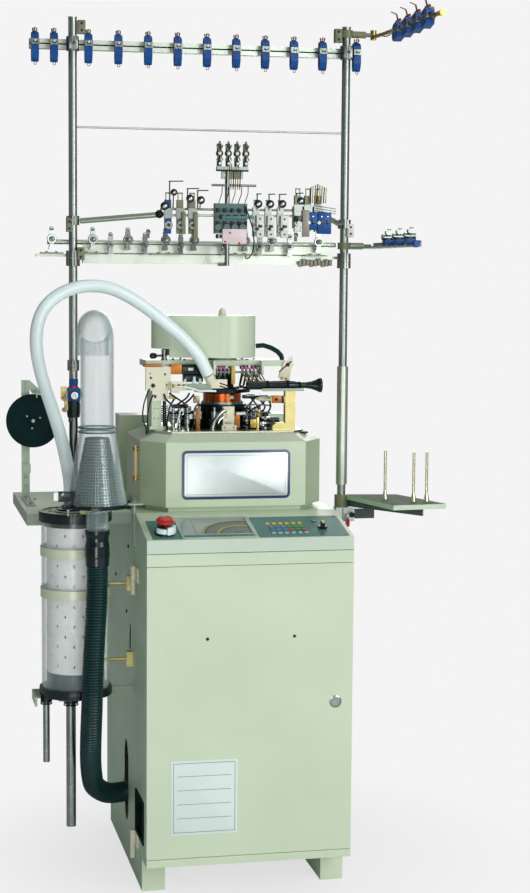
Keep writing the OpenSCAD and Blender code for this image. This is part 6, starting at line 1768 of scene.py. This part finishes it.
    def lower_faces(self, c: Array, n: Array) -> Array:
        """Olive plate, blue clips with steel eyes, and the green wedge of the lower arm.

        Args:
            c: the faces' middles.
            n: their normals, which are not used.

        Returns:
            Each face's finish number.
        """
        x, y, z = c[:, 0], c[:, 1], c[:, 2]
        clip = (z > 1748.6) & (np.abs(x - 470) < 20) & (y < 404)
        wedge = (x > 422) & (y < 585) | (z < 1745)
        return np.where(clip, np.where(z > 1767.4, 3, 1), np.where(wedge, 2, 0))

    def detector_parts(self) -> None:
        """Slots, lamps and terminal pins of the broken-yarn detectors."""
        shape = Shape("detector_parts")
        y, z = self.detector_y, self.rail_z
        for x in self.detector_xs:
            shape.slabs((0, 12, 1.2, 5, x, y - 15.5, z - 1, 0.6, 0.3),
                        (3, 9, 8, 5, x, y + 4, z + 28.4, 1, 0.5))
            shape.turned(((3.2, 0), (3.2, 1.6), (2, 3)), facing(x, y - 15, z + 4.5), 1, 12)
            for dx in (-6, 0, 6):
                pin = ((1.5, 0), (1.5, 7), (2.0, 8), (2.0, 12), (1, 13))
                shape.turned(pin, spot(x + dx, y + 5, z + 28.5), 2, 8)
            shape.bolt(facing(x, y - 15, z - 5), 1.8, 1.2, 4)
        shape.make("machine", "blue_plastic", Finish.GLOSS_BLACK, Finish.MILK, Finish.COPPER_WIRE,
                   Finish.BLUE, Finish.CHROME)

    def rail_ends(self) -> None:
        """Blocks and clamps that hold the rails on the posts."""
        shape = Shape("rail_ends")
        left, right = self.posts
        for x, low, high in ((left + 24.6, 2344, 2382), (right - 26.4, 2344, 2384)):
            shape.slab(22, 22, high - low, spot(x, 591, low), 2, 2, 1)
            for z in (low + 9, high - 9):
                shape.bolt(facing(x, 580, z), 3.4, 2.4, 1)
        for x in (left, right):
            shape.slab(27, 12, 33, spot(x, 575, self.rail_z - 17), 4, 2, 1)
            shape.bolt(facing(x, 569, self.rail_z), 5, 4, 1)
        for mark, wide, deep, tall, x, low, face, screw in ((2, 16, 22, 40, left - 13, 1783, 569, 1793),
                                                            (2, 21, 20, 37, left + 20, 1703, 570, 1712),
                                                            (0, 19, 20, 39, right + 14, 1778, 570, 1788)):
            shape.slab(wide, deep, tall, spot(x, 580, low), mark, 2, 1)
            for z in (screw, screw + 19):
                shape.bolt(facing(x, face, z), 3.2, 3, 1)
        for k in range(9):
            step = 2 * (k % 3)
            shape.slab(10.5, 12 + step, 18 + 4 * (k % 2), spot(264 + 11.5 * k, 600, 1689 + step), 3, 3, 2)
        for x in (-468, -352, -141, 86, 310):
            for dx in (-15, 13):
                shape.bolt(spot(x + dx, 602, 1725), 4, 3.4, 4)
        shape.make("machine", "steel", Finish.IVORY, Finish.IRON, Finish.OLIVE, Finish.TAUPE, Finish.STEEL)

    def tension_knobs(self) -> None:
        """Dark rims, hubs, springs and caps of the yarn tensioners."""
        shape = Shape("tension_knobs")
        y = self.tension_y
        for xs, z, r in ((self.big_xs, self.thin_z + 8, 13), (self.small_xs, self.thin_z - 6, 8)):
            hub = ((r * 0.5, 0), (r * 0.5, 3), (r * 0.36, 5), (r * 0.36, 9), (r * 0.2, 10))
            for x in xs:
                for mark, back, thick in ((0, 21, 3), (1, 17.4, 2.4)):
                    rim = ((r + 0.05, 0), (r + 1.3, 0.5), (r + 1.3, thick - 0.4), (r + 0.05, thick))
                    shape.hollow(rim, facing(x, y - back, z), mark)
                shape.turned(hub, facing(x, y - 34.8, z), 2, 16)
                for k in range(4):
                    shape.hoop(facing(x, y - 31 - k, z), r * 0.62, 0.5, 1, 18, 5)
                shape.slab(12, 8, 6, spot(x, y - 13.6, z + 25), 3, 2, 1)
        for x, z in ((-405, 1765), (-190, 1782), (62, 1775), (250, 1778)):
            shape.slab(9, 7, 26, spot(x, y - 6, z - 14), 3, 2, 1)
            shape.turned(((5.5, 0), (6.5, 2), (6.5, 5), (3, 7)), facing(x, y - 9, z + 4), 2, 16)
        shape.make("machine", "black_plastic", Finish.GLOSS_BLACK, Finish.CHROME, Finish.STEEL, Finish.TAUPE)

    def sensor_parts(self) -> None:
        """Discs, bars and boxes of the yarn sensor cluster."""
        shape = Shape("sensor_parts")
        y = self.mast[1]
        shape.slabs(
            (1, 20, 12, 48, -146, y + 2, 1793, 2, 1), (2, 12, 10, 63, -103.6, y - 14, 1779, 2, 1),
            (2, 13, 10, 79, -68.6, y - 14, 1763, 2, 1), (5, 21, 10, 77, 253.5, y - 20, 1775, 2, 1),
            (1, 27, 10, 52, 274.5, y - 19, 1795, 2, 1), (1, 40, 10, 63, 309, y - 20, 1784, 2, 1),
            (0, 24, 12, 17, 231, y - 16, 1818, 3, 1))
        for x, z, r in ((-158, 1858, 11), (-131, 1897, 9), (-84, 1880, 11), (-53, 1876, 11), (115, 1868, 11),
                        (150, 1868, 11), (186, 1869, 11), (241, 1878, 11)):
            shape.turned(((r, 0), (r + 0.8, 0.8), (r + 0.8, 4), (r * 0.7, 6)), facing(x, y - 9, z))
            shape.turned(((r * 0.5, 0), (r * 0.5, 3), (r * 0.3, 4)), facing(x, y - 14.8, z), 3, 16)
            shape.rod((x, y - 7, z), (x, y + 3, min(z, 1852)), 2.2, 3, 8)
        for x, z, reach in ((-146, 1928, 42), (-94, 1908, 36), (-65, 1903, 34), (109, 1896, 15),
                            (144, 1896, 21), (175, 1896, 23), (226, 1900, 22)):
            shape.rod((x, y - 10, z), (x + reach, y - 11, z + 1), 1.6, 0, 8)
            shape.rod((x + 3, y - 10, z), (x + 3, y - 8, 1850), 2.1, 3, 8)
        for x in (-147, -112, -77, 110, 146, 182):
            z = 1804 if x < 0 else 1796
            shape.hollow(((11.1, 0), (12.2, 0.5), (12.2, 3), (11.1, 3.5)), facing(x, y - 12, z))
            shape.turned(((4.6, 0), (4.6, 1.5), (2, 2.4)), facing(x, y - 25, z), 0, 16)
        for x, wide in ((118.5, 21), (150.5, 20), (190.5, 22)):
            shape.slab(wide, 9, 64, spot(x, y - 19, 1771), 4, 2, 1)
            for z in (1781, 1825):
                shape.bolt(facing(x, y - 23.5, z), 2.6, 2)
            shape.slab(wide - 8, 0.8, 8, spot(x, y - 23.8, 1800), 0, 0.6, 0.3)
        for x in (274, 300, 318):
            shape.slab(8, 1, 12, spot(x, y - 24.6, 1812), 0, 0.6, 0.3)
            shape.bolt(facing(x, y - 24.8, 1834), 2.4, 1.8, 3)
        shape.make("machine", "blue_plastic", Finish.GLOSS_BLACK, Finish.BLUE, Finish.OLIVE, Finish.CHROME,
                   Finish.IVORY, Finish.TAUPE)

    def terminal_block(self) -> None:
        """Terminal rows of the sensor box with its shelf and lower plate."""
        shape = Shape("terminal_block")
        y = self.mast[1] - 14
        for row in range(5):
            z = 1776 + 18.5 * row
            for k in range(9):
                x = -6 + 10.4 * k
                shape.slabs(((row + k) % 2, 8.6, 4, 12, x, y - 1.6, z - 8, 1, 0.5),
                            (0, 4.6, 0.8, 4, x, y - 3.8, z - 4, 0.4, 0.2))
        shape.slabs((2, 94, 5, 8, 54, y - 6, 1824, 1, 0.6), (3, 71, 3, 42, 43.5, y - 8, 1753, 2, 0.8))
        for x, z in ((16, 1758), (57, 1755), (30, 1784)):
            shape.turned(((3.2, 0), (3.2, 1), (2, 1.8)), facing(x, y - 9.4, z), 4, 14)
        for k in range(5):
            x = -2 + 19 * k
            path = ((x, y - 2, 1868), (x + 3, y - 6, 1880), (x + 9, y - 2, 1896), (x + 12, y + 8, 1917))
            shape.wire(path, 1.3, 0 if k % 2 else 5, 6)
        for k in range(7):
            x = 22 + 6.5 * k
            shape.rod((x, y + 8, 1908), (x + 2, y + 6, 1964 + 9 * (k % 3)), 1.5, 5 if k % 3 else 0, 8)
        for k in range(8):
            place = spot(266 + 6.6 * k, y - 6, 1872, ry=3)
            shape.slab(3.2, 3, 56 - 3 * abs(k - 3), place, (0, 5, 7)[k % 3], 0.8, 0.4)
        for k in range(3):
            shape.slab(60, 14, 2.4, spot(313, y - 4, 1846 + 7 * k, ry=8), 6, 2, 0.6)
        shape.make("machine", "black_plastic", Finish.IRON, Finish.CAP_GREY, Finish.TEAL, Finish.PINK_WHITE,
                   Finish.RED, Finish.BRASS, Finish.STEEL, Finish.OLIVE)

    def comb_parts(self) -> None:
        """White centres of the comb's heads and the bracket under its bar."""
        shape = Shape("comb_parts")
        x, y = self.mast[0] + 14, self.mast[1]
        for k in range(4):
            at = x + (k - 1.5) * COMB_PITCH
            for r, deep, z in ((4.4, 13.8, 1981), (4.8, 10.8, 2010)):
                shape.turned(((r, 0), (r, 1.4), (3, 2.2)), facing(at, y - deep, z), 0, 18)
            for lean in (-9, 9):
                shape.rod((at - lean, y - 9, 1990), (at + lean, y - 9, 2034), 1.9, 1, 8)
            shape.turned(((3.4, 0), (3.4, 6), (2.2, 8)), spot(at + 1, y - 3, 2037), 1, 12)
        # The bracket under the bar (mark 3) is in the shaded side green, the darker copy of the paint made as
        # painted shade.
        shape.slabs((2, 93, 2, 5, x, y - 8.6, 1959, 0.8, 0.4), (3, 64, 8, 22, x, y + 2, 1938, 3, 1))
        for dx in (-24, 24):
            shape.bolt(facing(x + dx, y - 2, 1949), 4, 3)
        shape.make("machine", "black_plastic", Finish.IVORY, Finish.OLIVE, Finish.IRON, Finish.SIDE_GREEN)

    def upper_units(self) -> None:
        """Clamp bands, twisted cord and clip ends on the upper arm."""
        shape = Shape("upper_units")
        x = self.arm_x
        for y in self.unit_ys:
            shape.slabs((0, 25.6, 54, 10, x, y, 2346, 4, 1), (1, 25.9, 14, 6, x, y, 2348, 2, 0.8))
            shape.turned(((6, 0), (6.8, 1), (6.8, 4), (4, 5)), facing(x, y - 24, 2354), 1, 16)
            shape.turned(((5, 0), (6.2, 1), (6.2, 5), (3, 6)), spot(x, y + 8, 2375), 2, 16)
            shape.turned(((3.4, 0), (4.2, 1), (4.2, 12), (2, 14)), spot(x, y - 10, 2370, rx=28), 3, 12)
        twist = [(7.6 * math.cos(0.55 * k), 7.6 * math.sin(0.55 * k)) for k in range(52)]
        cord = [Vector((x + a, 562 - 12.2 * k, 2361 - 0.33 * k + b)) for k, (a, b) in enumerate(twist)]
        shape.tube(cord, 1.9, 4, 8)
        shape.make("upper_arm", "blue_plastic", Finish.STEEL, Finish.GLOSS_BLACK, Finish.BLUE,
                   Finish.COPPER_WIRE, Finish.BRASS)

    def lower_units(self) -> None:
        """Bolts of the wedge plate and eyes of the lower clips."""
        shape = Shape("lower_units")
        for y in self.clip_ys:
            shape.turned(((7.4, 0), (8.2, 1), (8.2, 3), (5, 4)), sideways(457, y, 1775), 0, 18)
            shape.slab(18, 16, 4, spot(470, y, 1766.8), 1, 2, 0.8)
            shape.hoop(spot(471, y - 15, 1796), 5.4, 1.2, 0, 18, 6)
        for x, y in ((470, 560), (470, 530), (470, 480), (444.4, 300), (453.4, 150)):
            shape.bolt(spot(x, y, 1749), 4.2, 3)
        shape.turned(((9, 0), (10, 2), (10, 16), (8, 18)), facing(474, 121.9, 1752), 2, 20)
        shape.make("lower_arm", "blue_plastic", Finish.STEEL, Finish.GLOSS_BLACK, Finish.BLUE)

    def build(self) -> None:
        """Dresses and details the creel."""
        for part in (self.dress, self.detector_parts, self.rail_ends, self.tension_knobs, self.sensor_parts,
                     self.terminal_block, self.comb_parts, self.upper_units, self.lower_units):
            part()


def main() -> None:
    """Builds the machine's looks in order."""
    logging.basicConfig(level=logging.INFO, format="%(message)s")
    for part in (Studio(), SUCTION, YARN_WASTE, Cabinet(), Console(), KnittingHead(), LintFilter(),
                 SockFunnel(), Tables(), Creel()):
        part.build()


if __name__ == "__main__":
    main()
